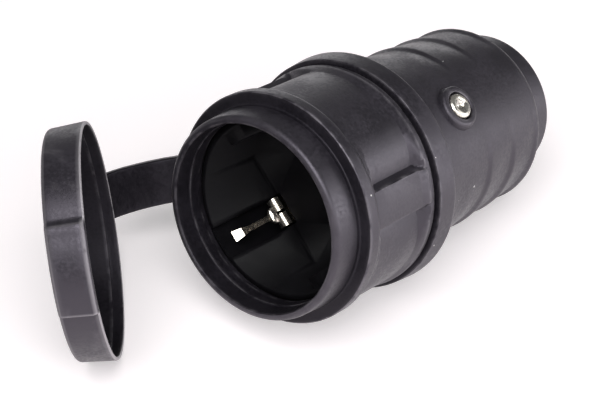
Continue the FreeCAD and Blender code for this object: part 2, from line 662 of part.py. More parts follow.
def resting_flats():
    """Cutter for the small flats under the ring and the barrel's end, in the hood's own frame."""
    side = 2 * RING_R
    below = block((-side, side), (0, TAIL_END), (REST_FLOOR - side, REST_FLOOR))
    below.rotate(ORIGIN, ALONG_X, REST_TILT)
    return rolled(below, -REST_ROLL)


def rear_hood():
    """Rear rubber hood: grip ring, waved barrel, screw boss and stepped cable end."""
    inner_front = HOOD_FRONT + SPIGOT_LENGTH
    inner_end_r = BARREL_END_R - HOOD_WALL
    shell = turned([
        (SPIGOT_R + SEAL_HEIGHT + FIT, HOOD_FRONT, 0),
        (RING_FRONT_R, HOOD_FRONT, EDGE_ROUND),
        (RING_R, RING_Y, RING_ROUND),
        (BARREL_FRONT_R, RING_BACK, RING_ROUND),
        (BARREL_END_R, BARREL_END, BARREL_ROUND),
        (TAIL_R, BARREL_END, EDGE_ROUND),
        (TAIL_R, TAIL_END, TAIL_ROUND),
        (GROMMET_BORE_R, TAIL_END, EDGE_ROUND),
        (GROMMET_BORE_R, HOOD_END_IN, 0),
        (inner_end_r, HOOD_END_IN, 0),
        (SEAT_R, inner_front, 0),
        (HOOD_BORE_R, inner_front, 0),
        (HOOD_BORE_R, FLANGE_BACK + SEAL_WIDTH, 0),
        (SPIGOT_R + SEAL_HEIGHT + FIT, FLANGE_BACK + SEAL_WIDTH, 0),
    ])
    waves = []
    for i in range(WAVE_COUNT):
        for side in (-90, 90):
            waves.append(grip_wave(WAVE_FIRST + WAVE_PITCH * i, INSERT_ROLL + side))
    boss = boss_outside()
    foot = post(BOSS_FOOT_R, SPINE_TOP, HOOD_HEAD_SEAT, HOOD_SCREW_Y)
    holes = [
        post(HOOD_SCREW_R + SCREW_FIT, SPINE_TOP - CUT_PAST, BOSS_TOP + CUT_PAST, HOOD_SCREW_Y),
        post(HOOD_HEAD_R + HOOD_HEAD_FIT, HOOD_HEAD_SEAT, BOSS_TOP + CUT_PAST, HOOD_SCREW_Y),
    ]
    roll = INSERT_ROLL - 90
    shell = shell.cut(waves)
    shell = shell.fuse([rolled(boss, roll), rolled(foot, roll)])
    return shell.cut([rolled(hole, roll) for hole in holes] + [resting_flats()]).removeSplitter()


def boss_outside():
    """Round collar that stands out of the barrel round the hood screw."""
    foot = barrel_r(HOOD_SCREW_Y) - HOOD_WALL / 2
    corners = [(0, foot, 0), (BOSS_R + OVERLAP, foot, 0), (BOSS_R, BOSS_TOP, BOSS_ROUND), (0, BOSS_TOP, 0)]
    boss = turned(corners)
    boss.rotate(ORIGIN, ALONG_X, 90)
    boss.translate(FreeCAD.Vector(0, HOOD_SCREW_Y, 0))
    return boss


def hood_screw():
    """Pan-head screw with a cross recess that fixes the hood to the carrier."""
    top = HOOD_HEAD_SEAT + HOOD_HEAD_HEIGHT
    head = turned([
        (0, 0, 0),
        (HOOD_HEAD_R, 0, 0),
        (HOOD_HEAD_R, HOOD_HEAD_HEIGHT, HOOD_HEAD_HEIGHT / 2),
        (0, HOOD_HEAD_HEIGHT, 0),
    ])
    head.rotate(ORIGIN, ALONG_X, 90)
    head.translate(FreeCAD.Vector(0, HOOD_SCREW_Y, HOOD_HEAD_SEAT))
    half = CROSS_LENGTH / 2
    thin = CROSS_WIDTH / 2
    ahead = (HOOD_SCREW_Y - half, HOOD_SCREW_Y + half)
    across = (HOOD_SCREW_Y - thin, HOOD_SCREW_Y + thin)
    cross = [
        block((-thin, thin), ahead, (top - CROSS_DEPTH, top + CUT_PAST)),
        block((-half, half), across, (top - CROSS_DEPTH, top + CUT_PAST)),
    ]
    shank = post(HOOD_SCREW_R, NUT_TOP - NUT_THICK - SCREW_TIP, HOOD_HEAD_SEAT, HOOD_SCREW_Y)
    return head.fuse(shank).cut(cross).removeSplitter()


def hood_screw_nut():
    """Square brass nut trapped in the carrier's spine."""
    half = NUT_SIZE / 2
    nut = block((-half, half), (HOOD_SCREW_Y - half, HOOD_SCREW_Y + half), (NUT_TOP - NUT_THICK, NUT_TOP))
    return nut.cut(post(HOOD_SCREW_R + SCREW_FIT, 0, SPINE_TOP, HOOD_SCREW_Y))


def seal_ring():
    """Rubber ring on the spigot between the sleeve's flange and the hood."""
    return tube(SPIGOT_R + SEAL_HEIGHT, SPIGOT_R + FIT / 2, FLANGE_BACK, FLANGE_BACK + SEAL_WIDTH)


def cable_grommet():
    """Rubber bush in the hood's tail that the cable comes in through."""
    flange_r = GROMMET_R + GROMMET_FLANGE
    return turned([
        (CABLE_ENTRY_R, GROMMET_FRONT, 0),
        (flange_r, GROMMET_FRONT, EDGE_ROUND),
        (flange_r, HOOD_END_IN, 0),
        (GROMMET_R, HOOD_END_IN, 0),
        (GROMMET_R, TAIL_END - EDGE_ROUND, EDGE_ROUND),
        (CABLE_ENTRY_R, TAIL_END - EDGE_ROUND, EDGE_ROUND),
    ])


def opened(shape):
    """Copy of a piece drawn on the closed lid, swung open to the lid's resting place."""
    copy = shape.copy()
    copy.rotate(FreeCAD.Vector(-HINGE_OUT, HINGE_Y, 0), ALONG_Z, -LID_OPEN_DEG)
    return copy


def closed_lid():
    """Lid on the mouth, its strap tab towards -X and its finger lug towards +X."""
    rim = -LID_SEAT_GAP
    back = rim - LID_DEPTH
    cup = turned([
        (0, back, 0),
        (LID_BACK_R, back, LID_BACK_ROUND),
        (LID_R, rim, EDGE_ROUND),
        (LID_RIM_R, rim, EDGE_ROUND),
        (LID_RIM_R, rim - LID_LEDGE_DEPTH, 0),
        (LID_LEDGE_R, rim - LID_LEDGE_DEPTH, 0),
        (LID_FLOOR_R, back + LID_BACK_THICK, EDGE_ROUND),
        (0, back + LID_BACK_THICK, 0),
    ])
    lug = Part.Face(rounded_wire([
        (LID_FLOOR_R, back, 0),
        (LID_BACK_R + LID_LUG_HEIGHT, back, LID_BACK_ROUND),
        (LID_R + LID_LUG_HEIGHT, rim, EDGE_ROUND),
        (LID_RIM_R, rim, 0),
    ])).revolve(ORIGIN, ALONG_Y, LID_LUG_DEG)
    lug = rolled(lug, LID_LUG_DEG / 2)
    tab_y = rim - TAB_DEPTH
    half = STRAP_THICK / 2
    tab = block((-LID_R - TAB_REACH, -LID_RIM_R - OVERLAP), (tab_y - half, tab_y + half),
                (-STRAP_WIDTH / 2, STRAP_WIDTH / 2))
    hollow = turned([(0, back + LID_BACK_THICK, 0), (LID_FLOOR_R, back + LID_BACK_THICK, 0),
                     (LID_LEDGE_R, rim - LID_LEDGE_DEPTH, 0), (LID_RIM_R, rim - LID_LEDGE_DEPTH, 0),
                     (LID_RIM_R, rim + CUT_PAST, 0), (0, rim + CUT_PAST, 0)])
    return cup.fuse([lug.cut(hollow), tab]).removeSplitter()


def lid():
    """Rubber lid, standing open."""
    return rolled(opened(closed_lid()), STRAP_ROLL)


def lid_strap():
    """Flat rubber strap that bows out from the lid's tab and in again to the sleeve's root lug."""
    tab_y = -LID_SEAT_GAP - TAB_DEPTH
    hinge = FreeCAD.Placement(ORIGIN, FreeCAD.Rotation(ALONG_Z, -LID_OPEN_DEG),
                              FreeCAD.Vector(-HINGE_OUT, HINGE_Y, 0))
    start = hinge.multVec(FreeCAD.Vector(-LID_R - TAB_REACH, tab_y, 0))
    leaving = hinge.Rotation.multVec(-ALONG_X)
    root = FreeCAD.Vector(-STRAP_ROOT_OUT, STRAP_ROOT_Y, 0)
    arriving = FreeCAD.Rotation(ALONG_Z, STRAP_ROOT_DEG).multVec(ALONG_X)
    bow = Part.BezierCurve()
    bow.setPoles([start, start + leaving * STRAP_BOW_LID, root - arriving * STRAP_BOW_ROOT, root])
    side = FreeCAD.Vector(-leaving.y, leaving.x, 0)
    half_width = ALONG_Z * (STRAP_WIDTH / 2)
    half_thick = side * (STRAP_THICK / 2)
    corners = [
        start + half_width + half_thick,
        start - half_width + half_thick,
        start - half_width - half_thick,
        start + half_width - half_thick,
        start + half_width + half_thick,
    ]
    band = Part.Wire([bow.toShape()]).makePipeShell([Part.makePolygon(corners)], True, True)
    return rolled(band, STRAP_ROLL)


def at_rest(shape):
    """Copy of a finished piece, laid with the ring, the barrel's end and the lid on the floor."""
    copy = rolled(shape, REST_ROLL)
    copy.rotate(ORIGIN, ALONG_X, -REST_TILT)
    return copy


def in_socket(shape):
    """Copy of an inner piece, rolled from its own upright to the insert's roll angle."""
    return rolled(shape, INSERT_ROLL - 90)


def pieces():
    """All nodes by name, on the socket's axis."""
    half = BLOCK_SIZE / 2
    return {
        "socket_sleeve": socket_sleeve(),
        "rear_hood": rear_hood(),
        "seal_ring": seal_ring(),
        "cable_grommet": cable_grommet(),
        "lid": lid(),
        "lid_strap": lid_strap(),
        "socket_insert": in_socket(socket_insert()),
        "line_contact": in_socket(pin_contact(1)),
        "neutral_contact": in_socket(pin_contact(-1)),
        "line_contact_spring": in_socket(contact_spring(1)),
        "neutral_contact_spring": in_socket(contact_spring(-1)),
        "line_terminal_screw": in_socket(terminal_screw(PIN_X, half)),
        "neutral_terminal_screw": in_socket(terminal_screw(-PIN_X, half)),
        "earth_bracket": in_socket(earth_bracket()),
        "earth_terminal": in_socket(earth_terminal()),
        "earth_terminal_screw": in_socket(terminal_screw(0, EARTH_BLOCK_TOP - BLOCK_SIZE, True)),
        "terminal_carrier": in_socket(terminal_carrier()),
        "insert_screws": in_socket(insert_screws()),
        "cord_clamp": in_socket(cord_clamp()),
        "cord_clamp_screws": in_socket(cord_clamp_screws()),
        "hood_screw": in_socket(hood_screw()),
        "hood_screw_nut": in_socket(hood_screw_nut()),
    }


def main():
    """Build every piece and write one file for each."""
    os.makedirs("parts", exist_ok=True)
    for name, shape in pieces().items():
        at_rest(shape).exportStep("parts/" + name + ".step")


if __name__ == "__main__":
    main()
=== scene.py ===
"""Dressed model of an inline two-pin side-earth socket with a hinged rubber lid, lying on a pale floor."""

import logging
import math
from collections.abc import Callable, Sequence
from dataclasses import dataclass
from enum import Enum

import bmesh
import bpy
from bpy.types import Material, Mesh, Node, NodeSocket, NodeTree, Object
from mathutils import Matrix, Vector


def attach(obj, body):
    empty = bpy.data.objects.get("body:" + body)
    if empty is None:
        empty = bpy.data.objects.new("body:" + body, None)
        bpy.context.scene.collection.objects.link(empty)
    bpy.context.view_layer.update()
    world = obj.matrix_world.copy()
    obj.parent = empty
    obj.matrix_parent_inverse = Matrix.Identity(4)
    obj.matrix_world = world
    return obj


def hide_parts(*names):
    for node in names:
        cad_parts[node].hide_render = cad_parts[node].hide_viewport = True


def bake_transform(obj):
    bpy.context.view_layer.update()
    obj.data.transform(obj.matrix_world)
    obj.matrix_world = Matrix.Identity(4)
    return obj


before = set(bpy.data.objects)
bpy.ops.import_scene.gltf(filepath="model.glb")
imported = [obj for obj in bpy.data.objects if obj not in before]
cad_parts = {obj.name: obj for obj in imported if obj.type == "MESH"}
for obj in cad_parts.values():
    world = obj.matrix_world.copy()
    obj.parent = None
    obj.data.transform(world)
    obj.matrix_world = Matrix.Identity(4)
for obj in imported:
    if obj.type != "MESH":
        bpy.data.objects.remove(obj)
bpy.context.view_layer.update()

LOG = logging.getLogger("inline_socket")
MM = 0.001
ROLL_AXIS = Vector((0.0, -1.0, 0.0))
SHARP_ANGLE = math.radians(38.0)
MERGE_DISTANCE = 0.002 * MM
SOFT_EDGE = 1.6 * MM
CRISP_EDGE = 0.3 * MM
CORNER_SEGMENTS = 5
BLOCK_SEGMENTS = 3
BEVEL_PROFILE = 0.5
WHITE = (1.0, 1.0, 1.0, 1.0)

Corner = tuple[float, float, float]
Colour = tuple[float, float, float]
Place = tuple[float, float, float]
Span = tuple[float, float]


class Body(Enum):
    """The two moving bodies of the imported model."""

    CONNECTOR = "connector"
    LID = "lid"


class Slot(Enum):
    """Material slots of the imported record."""

    SLEEVE = "sleeve_rubber"
    HOOD = "hood_rubber"
    LID = "lid_rubber"
    SEAL = "seal_rubber"
    PLASTIC = "insert_plastic"
    BRASS = "contact_brass"
    CLIP = "clip_nickel"
    SPRING = "spring_steel"
    HOOD_SCREW = "screw_nickel"
    SCREW = "screw_steel"


def roll_by(angle: float) -> Matrix:
    """Turn about the socket's axis, from +X towards +Z, by an angle in degrees."""
    return Matrix.Rotation(math.radians(angle), 4, ROLL_AXIS)


@dataclass(frozen=True)
class Attitude:
    """How the socket lies: tilt of its axis and roll of its inner and lid pieces, in degrees and millimetres."""

    tilt: float = 7.09655
    rest_roll: float = 4.3
    insert_roll: float = 45.0
    strap_roll: float = 15.3
    lid_open: float = 50.2
    hinge_out: float = 42.2
    hinge_y: float = 12.0
    floor_z: float = -31.254

    def tilted(self) -> Matrix:
        """Turn from the socket's own axis to its resting roll and tilt."""
        return Matrix.Rotation(-math.radians(self.tilt), 4, "X") @ roll_by(self.rest_roll)

    def rolled(self, angle: float) -> Matrix:
        """Turn by a roll angle in degrees, then to the resting roll and tilt."""
        return self.tilted() @ roll_by(angle)

    def opened(self) -> Matrix:
        """Swing of the lid from shut to its resting place, in the strap's plane.

        Returns:
            The matrix from the shut lid to the open one, in metres.
        """
        hinge = Matrix.Translation(Vector((-self.hinge_out, self.hinge_y, 0.0)) * MM)
        swing = Matrix.Rotation(-math.radians(self.lid_open), 4, "Z")
        return hinge @ swing @ hinge.inverted()


ATTITUDE = Attitude()


class Shape:
    """A bmesh under construction, drawn in millimetres and finished in metres."""

    def __init__(self) -> None:
        """Start with nothing drawn."""
        self.bm = bmesh.new()

    def outline(self, corners: Sequence[Corner], closed: bool, row: float) -> None:
        """Draw a rounded outline in the XY plane.

        Args:
            corners: Radius, place along the axis and corner radius of each point.
            closed: True joins the last point to the first.
            row: Longest stretch of outline left undivided.
        """
        points = [Vector((r, y, 0.0)) for r, y, _ in corners]
        verts = [self.bm.verts.new(p) for p in points]
        count = len(verts)
        last = count if closed else count - 1
        for i in range(last):
            self.bm.edges.new((verts[i], verts[(i + 1) % count]))
        for i, (_, _, radius) in enumerate(corners):
            if radius == 0.0:
                continue
            into = points[i - 1] - points[i]
            away = points[(i + 1) % count] - points[i]
            reach = radius / math.tan(into.angle(away) / 2.0)
            bmesh.ops.bevel(self.bm, geom=[verts[i]], offset=reach, offset_type="OFFSET", affect="VERTICES",
                            segments=CORNER_SEGMENTS, profile=BEVEL_PROFILE, material=-1)
        for edge in list(self.bm.edges):
            cuts = math.ceil(edge.calc_length() / row) - 1
            if cuts > 0:
                bmesh.ops.subdivide_edges(self.bm, edges=[edge], cuts=cuts)

    def turn(self, steps: int) -> None:
        """Spin what is drawn about the Y axis into a closed skin.

        Args:
            steps: Number of faces round the axis.
        """
        bmesh.ops.spin(self.bm, geom=self.bm.verts[:] + self.bm.edges[:], cent=(0.0, 0.0, 0.0),
                       axis=(0.0, 1.0, 0.0), angle=math.tau, steps=steps, use_merge=True)
        self.tidy()

    def tidy(self) -> None:
        """Merge poles and seams and point every face outwards."""
        bmesh.ops.remove_doubles(self.bm, verts=self.bm.verts[:], dist=MERGE_DISTANCE / MM)
        bmesh.ops.dissolve_degenerate(self.bm, edges=self.bm.edges[:], dist=MERGE_DISTANCE / MM)
        bmesh.ops.recalc_face_normals(self.bm, faces=self.bm.faces[:])

    def carve(self, radius_at: Callable[[float, float, float], float]) -> None:
        """Move every point in or out from the Y axis.

        Args:
            radius_at: New radius for a radius, place along the axis and roll angle in degrees.
        """
        for v in self.bm.verts:
            radius = math.hypot(v.co.x, v.co.z)
            if radius < MERGE_DISTANCE:
                continue
            share = radius_at(radius, v.co.y, math.degrees(math.atan2(v.co.z, v.co.x))) / radius
            v.co.x *= share
            v.co.z *= share

    def gather(self, rolls: Sequence[float], step: float) -> None:
        """Move the nearest column of a turned skin onto each of some roll angles.

        Args:
            rolls: Roll angles in degrees that need a column.
            step: Degrees between two columns.
        """
        for v in self.bm.verts:
            roll = math.degrees(math.atan2(v.co.z, v.co.x))
            for target in rolls:
                shift = signed_turn(target, roll)
                if abs(shift) <= step / 2.0:
                    v.co = roll_by(shift).to_3x3() @ v.co
                    break

    def block(self, size: Sequence[float], place: Matrix, bevel: float) -> None:
        """Add a box with rounded edges.

        Args:
            size: The box's three sides.
            place: Where its middle goes, in millimetres.
            bevel: Radius of its edges.
        """
        scale = Matrix.Diagonal((*size, 1.0))
        made = bmesh.ops.create_cube(self.bm, size=1.0, matrix=place @ scale)
        edges = list({e for v in made["verts"] for e in v.link_edges})
        bmesh.ops.bevel(self.bm, geom=edges, offset=bevel, offset_type="OFFSET", affect="EDGES",
                        segments=BLOCK_SEGMENTS, profile=BEVEL_PROFILE, material=-1)

    def join(self, other: "Shape", place: Matrix) -> None:
        """Take over another shape's skin.

        Args:
            other: The shape, which is used up.
            place: Where it goes, in millimetres.
        """
        other.bm.transform(place)
        mesh = bpy.data.meshes.new("joined")
        other.bm.to_mesh(mesh)
        self.bm.from_mesh(mesh)
        bpy.data.meshes.remove(mesh)
        other.bm.free()

    def finish(self, name: str, place: Matrix) -> Object:
        """Turn the drawing into an object at the origin, flat where it lies on the floor.

        Args:
            name: Name of the piece.
            place: From the drawing to the row frame, in metres.

        Returns:
            The finished object.
        """
        self.bm.transform(place @ Matrix.Scale(MM, 4))
        for v in self.bm.verts:
            v.co.z = max(v.co.z, ATTITUDE.floor_z * MM)
        mesh = bpy.data.meshes.new(name)
        mark_edges(self.bm)
        self.bm.to_mesh(mesh)
        self.bm.free()
        return shaded(name, mesh)


def mark_edges(bm: bmesh.types.BMesh) -> None:
    """Write how sharply the skin turns outwards at each point, for the paler edges: partly rubbing, partly a painted
    highlight.

    Args:
        bm: The finished skin, in metres.
    """
    soft = 1.0 / SOFT_EDGE
    crisp = 1.0 / CRISP_EDGE
    bm.normal_update()
    layer = bm.verts.layers.float.new("edge")
    for v in bm.verts:
        bend = 0.0
        for e in v.link_edges:
            run = e.other_vert(v).co - v.co
            if run.length_squared > 0.0:
                bend = max(bend, -2.0 * v.normal.dot(run) / run.length_squared)
        v[layer] = min(1.0, max(0.0, (bend - soft) / (crisp - soft)))


def shaded(name: str, mesh: Mesh) -> Object:
    """Smooth-shade a mesh, keep its sharp edges and put it in the scene.

    Args:
        name: Name of the piece.
        mesh: Its finished mesh.

    Returns:
        The new object.
    """
    mesh.shade_smooth()
    mesh.set_sharp_from_angle(angle=SHARP_ANGLE)
    piece = bpy.data.objects.new(name, mesh)
    bpy.context.scene.collection.objects.link(piece)
    return piece


def settle(piece: Object, body: Body, material: Material, node: str) -> None:
    """Give a piece its material and its body, and hide the CAD node that it stands for.

    Args:
        piece: The finished object.
        body: The body it moves with.
        material: Its finish.
        node: CAD node that it replaces.
    """
    piece.data.materials.append(material)
    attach(piece, body.value)
    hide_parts(node)
    LOG.info("%s: %d faces on %s", piece.name, len(piece.data.polygons), body.value)


def shade_hollow(piece: Object, place: Matrix, material: Material, hollow: Callable[[float, float], bool]) -> None:
    """Paint shade into the hollows of a turned piece with a duller, less shiny copy of its finish.

    Args:
        piece: The finished object.
        place: From its drawing to the row frame, in metres.
        material: The duller finish that paints the shade.
        hollow: Tells from a face's radius and place along the axis, in millimetres, whether it lies in a hollow.
    """
    piece.data.materials.append(material)
    drawing = place.inverted()
    for face in piece.data.polygons:
        x, y, z = drawing @ face.center / MM
        if hollow(math.hypot(x, z), y):
            face.material_index = len(piece.data.materials) - 1


class Wiring:
    """Short way to place and link shader nodes in one tree.

    The Mix node's colour sockets go by number, because its other types use the same names.
    """

    mix_inputs = (0, 6, 7)
    mix_output = 2

    def __init__(self, tree: NodeTree) -> None:
        """Work on a node tree."""
        self.tree = tree

    def add(self, kind: str, settings: dict | None = None, **inputs: object) -> Node:
        """Place a node.

        Args:
            kind: Blender's name of the node type.
            settings: Properties of the node.
            inputs: Input values or sockets, by socket name with underscores for spaces.

        Returns:
            The new node.
        """
        node = self.tree.nodes.new(kind)
        for key, value in (settings or {}).items():
            setattr(node, key, value)
        for key, value in inputs.items():
            self.feed(node, key.replace("_", " "), value)
        return node

    def group(self, tree: NodeTree, **inputs: object) -> Node:
        """Place a shared effect."""
        return self.add("ShaderNodeGroup", {"node_tree": tree}, **inputs)

    def feed(self, node: Node, socket: str | int, value: object) -> None:
        """Link a socket to an input, or set the input's own value.

        Args:
            node: The node that has the input.
            socket: Name or number of the input.
            value: A socket to link from, or a plain value.
        """
        target = node.inputs[socket]
        if isinstance(value, NodeSocket):
            self.tree.links.new(value, target)
        else:
            target.default_value = value

    def combine(self, kind: str, settings: dict, values: Sequence[object], inputs: Sequence[int] = (0, 1),
                output: int = 0) -> NodeSocket:
        """Place a node whose inputs go by number.

        Args:
            kind: Blender's name of the node type.
            settings: Properties of the node.
            values: Input values or sockets.
            inputs: Numbers of their inputs.
            output: Number of the output.

        Returns:
            The output's socket.
        """
        node = self.add(kind, settings)
        for socket, value in zip(inputs, values):
            self.feed(node, socket, value)
        return node.outputs[output]

    def math(self, operation: str, first: object, second: object) -> NodeSocket:
        """Result of one arithmetic step."""
        return self.combine("ShaderNodeMath", {"operation": operation}, (first, second))

    def mix(self, factor: object, first: object, second: object) -> NodeSocket:
        """Colour between two colours."""
        values = (factor, first, second)
        return self.combine("ShaderNodeMix", {"data_type": "RGBA"}, values, self.mix_inputs, self.mix_output)

    def weighted(self, first: object, second: object, weights: Span) -> NodeSocket:
        """Sum of two values, each times its weight."""
        parts = [self.math("MULTIPLY", value, weight) for value, weight in zip((first, second), weights)]
        return self.math("ADD", *parts)

    def ramp(self, value: object, span: Span = (0.0, 1.0), out: Span = (0.0, 1.0)) -> NodeSocket:
        """Value mapped smoothly from one span onto another."""
        node = self.add("ShaderNodeMapRange", {"interpolation_type": "SMOOTHSTEP", "clamp": True}, Value=value,
                        From_Min=span[0], From_Max=span[1], To_Min=out[0], To_Max=out[1])
        return node.outputs["Result"]

    def noise(self, vector: object, scale: object, detail: float, roughness: float = 0.5) -> NodeSocket:
        """Soft random value from 0 to 1."""
        node = self.add("ShaderNodeTexNoise", Vector=vector, Scale=scale, Detail=detail, Roughness=roughness)
        return node.outputs["Fac"]


class SurfaceGroups:
    """Shader effects that several finishes share, each built once.

    Scales are in cells to the metre, and a span holds the noise values between which a mask fades in.
    """

    fine_detail = 2.0
    broad_detail = 4.0
    grain_weights = (0.7, 0.4)
    mottle_weights = (0.55, 0.45)
    mottle_span = (0.36, 0.64)
    speck_scale = 260.0
    speck_sizes = (0.03, 0.07)
    rub_and_highlight_scale = 320.0
    rub_and_highlight_detail = 3.0
    rub_and_highlight_span = (0.35, 0.62)
    scuff_scale = (70.0, 150.0, 45.0)
    scuff_detail = 6.0
    scuff_roughness = 0.6
    scuff_span = (0.54, 0.74)

    def __init__(self) -> None:
        """Build every group."""
        self.grain = self.build_grain()
        self.specks = self.build_specks()
        self.rub_and_highlight = self.build_rub_and_highlight()
        self.scuffs = self.build_scuffs()

    @staticmethod
    def start(name: str, inputs: Sequence[str], outputs: Sequence[str]) -> tuple[NodeTree, Node, Node]:
        """Make an empty group that takes a place and some values.

        Args:
            name: Name of the group.
            inputs: Names of the value inputs that follow the Vector.
            outputs: Names of the value outputs.

        Returns:
            The tree, its input node and its output node.
        """
        tree = bpy.data.node_groups.new(name, "ShaderNodeTree")
        tree.interface.new_socket("Vector", in_out="INPUT", socket_type="NodeSocketVector")
        for key in inputs:
            tree.interface.new_socket(key, in_out="INPUT", socket_type="NodeSocketFloat")
        for key in outputs:
            tree.interface.new_socket(key, in_out="OUTPUT", socket_type="NodeSocketFloat")
        return tree, tree.nodes.new("NodeGroupInput"), tree.nodes.new("NodeGroupOutput")

    def build_grain(self) -> NodeTree:
        """Moulded skin: a fine grain for the bump and a slow mottle for tone and gloss.

        Returns:
            The new group.
        """
        tree, given, result = self.start("moulded_grain", ("Fine", "Broad"), ("Height", "Mottle"))
        w = Wiring(tree)
        vector, fine_scale, broad_scale = (given.outputs[key] for key in ("Vector", "Fine", "Broad"))
        fine = w.noise(vector, fine_scale, self.fine_detail)
        broad = w.noise(vector, broad_scale, self.broad_detail)
        pits = w.add("ShaderNodeTexVoronoi", Vector=vector, Scale=fine_scale).outputs["Distance"]
        w.feed(result, "Height", w.weighted(fine, pits, self.grain_weights))
        w.feed(result, "Mottle", w.ramp(w.weighted(broad, fine, self.mottle_weights), self.mottle_span))
        return tree

    def build_specks(self) -> NodeTree:
        """Sparse pale dust specks, each in the middle of a random cell.

        Returns:
            The new group.
        """
        tree, given, result = self.start("dust_specks", ("Share",), ("Mask",))
        w = Wiring(tree)
        cells = w.add("ShaderNodeTexVoronoi", Vector=given.outputs["Vector"], Scale=self.speck_scale)
        pick = w.add("ShaderNodeSeparateColor", Color=cells.outputs["Color"])
        chosen = w.math("LESS_THAN", pick.outputs["Red"], given.outputs["Share"])
        size = w.ramp(pick.outputs["Green"], out=self.speck_sizes)
        spot = w.math("LESS_THAN", cells.outputs["Distance"], size)
        w.feed(result, "Mask", w.math("MULTIPLY", chosen, spot))
        return tree

    def build_rub_and_highlight(self) -> NodeTree:
        """Paler edges, partly from rubbing and partly a painted highlight: the marked edge broken up by a soft
        noise.

        Returns:
            The new group.
        """
        tree, given, result = self.start("edge_rub_and_highlight", ("Edge", "Bare"), ("Mask",))
        w = Wiring(tree)
        noise = w.noise(given.outputs["Vector"], self.rub_and_highlight_scale, self.rub_and_highlight_detail)
        patches = w.ramp(w.math("ADD", noise, given.outputs["Bare"]), self.rub_and_highlight_span)
        w.feed(result, "Mask", w.math("MULTIPLY", given.outputs["Edge"], patches))
        return tree

    def build_scuffs(self) -> NodeTree:
        """Faint drawn-out smears left by handling.

        Returns:
            The new group.
        """
        tree, given, result = self.start("handling_scuffs", (), ("Mask",))
        w = Wiring(tree)
        values = (given.outputs["Vector"], self.scuff_scale)
        drawn = w.combine("ShaderNodeVectorMath", {"operation": "MULTIPLY"}, values)
        noise = w.noise(drawn, 1.0, self.scuff_detail, self.scuff_roughness)
        w.feed(result, "Mask", w.ramp(noise, self.scuff_span))
        return tree


def opaque(colour: Colour) -> tuple[float, float, float, float]:
    """Colour with full alpha, as the shader's sockets take it."""
    return (*colour, 1.0)


@dataclass(frozen=True)
class Finish:
    """What every finish has: two mottled tones, a span of roughness and a fine grain.

    The grain's scales are in cells to the metre, and the bump's depth is in millimetres.
    """

    tones: tuple[Colour, Colour]
    rough: Span
    fine: float
    broad: float
    bump: float
    bump_depth: float

    def constants(self) -> dict[str, object]:
        """Shader values that don't vary over the surface."""
        return {}

    def coat(self, w: Wiring, groups: SurfaceGroups, vector: NodeSocket, base: NodeSocket) -> NodeSocket:
        """Colour of the skin with what lies on it, which is nothing on a plain finish."""
        return base

    def material(self, name: str, groups: SurfaceGroups) -> Material:
        """Build the finish.

        Args:
            name: Name of the material.
            groups: The shared shader effects.

        Returns:
            The new material.
        """
        material = bpy.data.materials.new(name)
        material.use_nodes = True
        w = Wiring(material.node_tree)
        shader = next(n for n in material.node_tree.nodes if n.type == "BSDF_PRINCIPLED")
        vector = w.add("ShaderNodeTexCoord").outputs["Object"]
        grain = w.group(groups.grain, Vector=vector, Fine=self.fine, Broad=self.broad)
        mottle = grain.outputs["Mottle"]
        base = w.mix(mottle, *map(opaque, self.tones))
        bump = w.add("ShaderNodeBump", Strength=self.bump, Distance=self.bump_depth * MM,
                     Height=grain.outputs["Height"])
        w.feed(shader, "Base Color", self.coat(w, groups, vector, base))
        w.feed(shader, "Roughness", w.ramp(mottle, out=self.rough))
        w.feed(shader, "Normal", bump.outputs["Normal"])
        for socket, value in self.constants().items():
            w.feed(shader, socket, value)
        return material


@dataclass(frozen=True)
class RubberFinish(Finish):
    """Satin black moulded rubber with a fine grain, faint smears, edges paled by rubbing and by a painted highlight,
    and a little dust.
    """

    tones: tuple[Colour, Colour] = ((0.0076, 0.0068, 0.0090), (0.0150, 0.0134, 0.0174))
    rough: Span = (0.37, 0.55)
    fine: float = 1500.0
    broad: float = 90.0
    bump: float = 0.18
    bump_depth: float = 0.1
    # Pale edge colour: partly rubbing, partly a painted highlight on convex edges.
    rub_and_highlight_colour: Colour = (0.15, 0.142, 0.154)
    dust: Colour = (0.72, 0.71, 0.69)
    tint: Colour = (0.99, 0.915, 1.07)
    rub_and_highlight: float = 0.8
    rub_and_highlight_fill: float = 0.0
    scuff: float = 0.11
    shine: float = 0.78
    speck_share: float = 0.12

    def constants(self) -> dict[str, object]:
        """Strength and tint of the sheen."""
        return {"Specular IOR Level": self.shine, "Specular Tint": opaque(self.tint)}

    def coat(self, w: Wiring, groups: SurfaceGroups, vector: NodeSocket, base: NodeSocket) -> NodeSocket:
        """Lay smears, paler edges (rubbing and painted highlight) and dust on the skin.

        Args:
            w: Wiring of the material.
            groups: The shared shader effects.
            vector: The object's own coordinates.
            base: The mottled colour.

        Returns:
            The finished colour.
        """
        smears = w.group(groups.scuffs, Vector=vector)
        edge = w.add("ShaderNodeAttribute", {"attribute_name": "edge"})
        rub_and_highlight_mask = w.group(groups.rub_and_highlight, Vector=vector, Edge=edge.outputs["Fac"], Bare=self.rub_and_highlight_fill)
        specks = w.group(groups.specks, Vector=vector, Share=self.speck_share)
        # The marked edges are lightened: partly rubbing, partly a painted highlight.
        for effect, share in ((smears, self.scuff), (rub_and_highlight_mask, self.rub_and_highlight)):
            base = w.mix(w.math("MULTIPLY", effect.outputs["Mask"], share), base, opaque(self.rub_and_highlight_colour))
        return w.mix(specks.outputs["Mask"], base, opaque(self.dust))


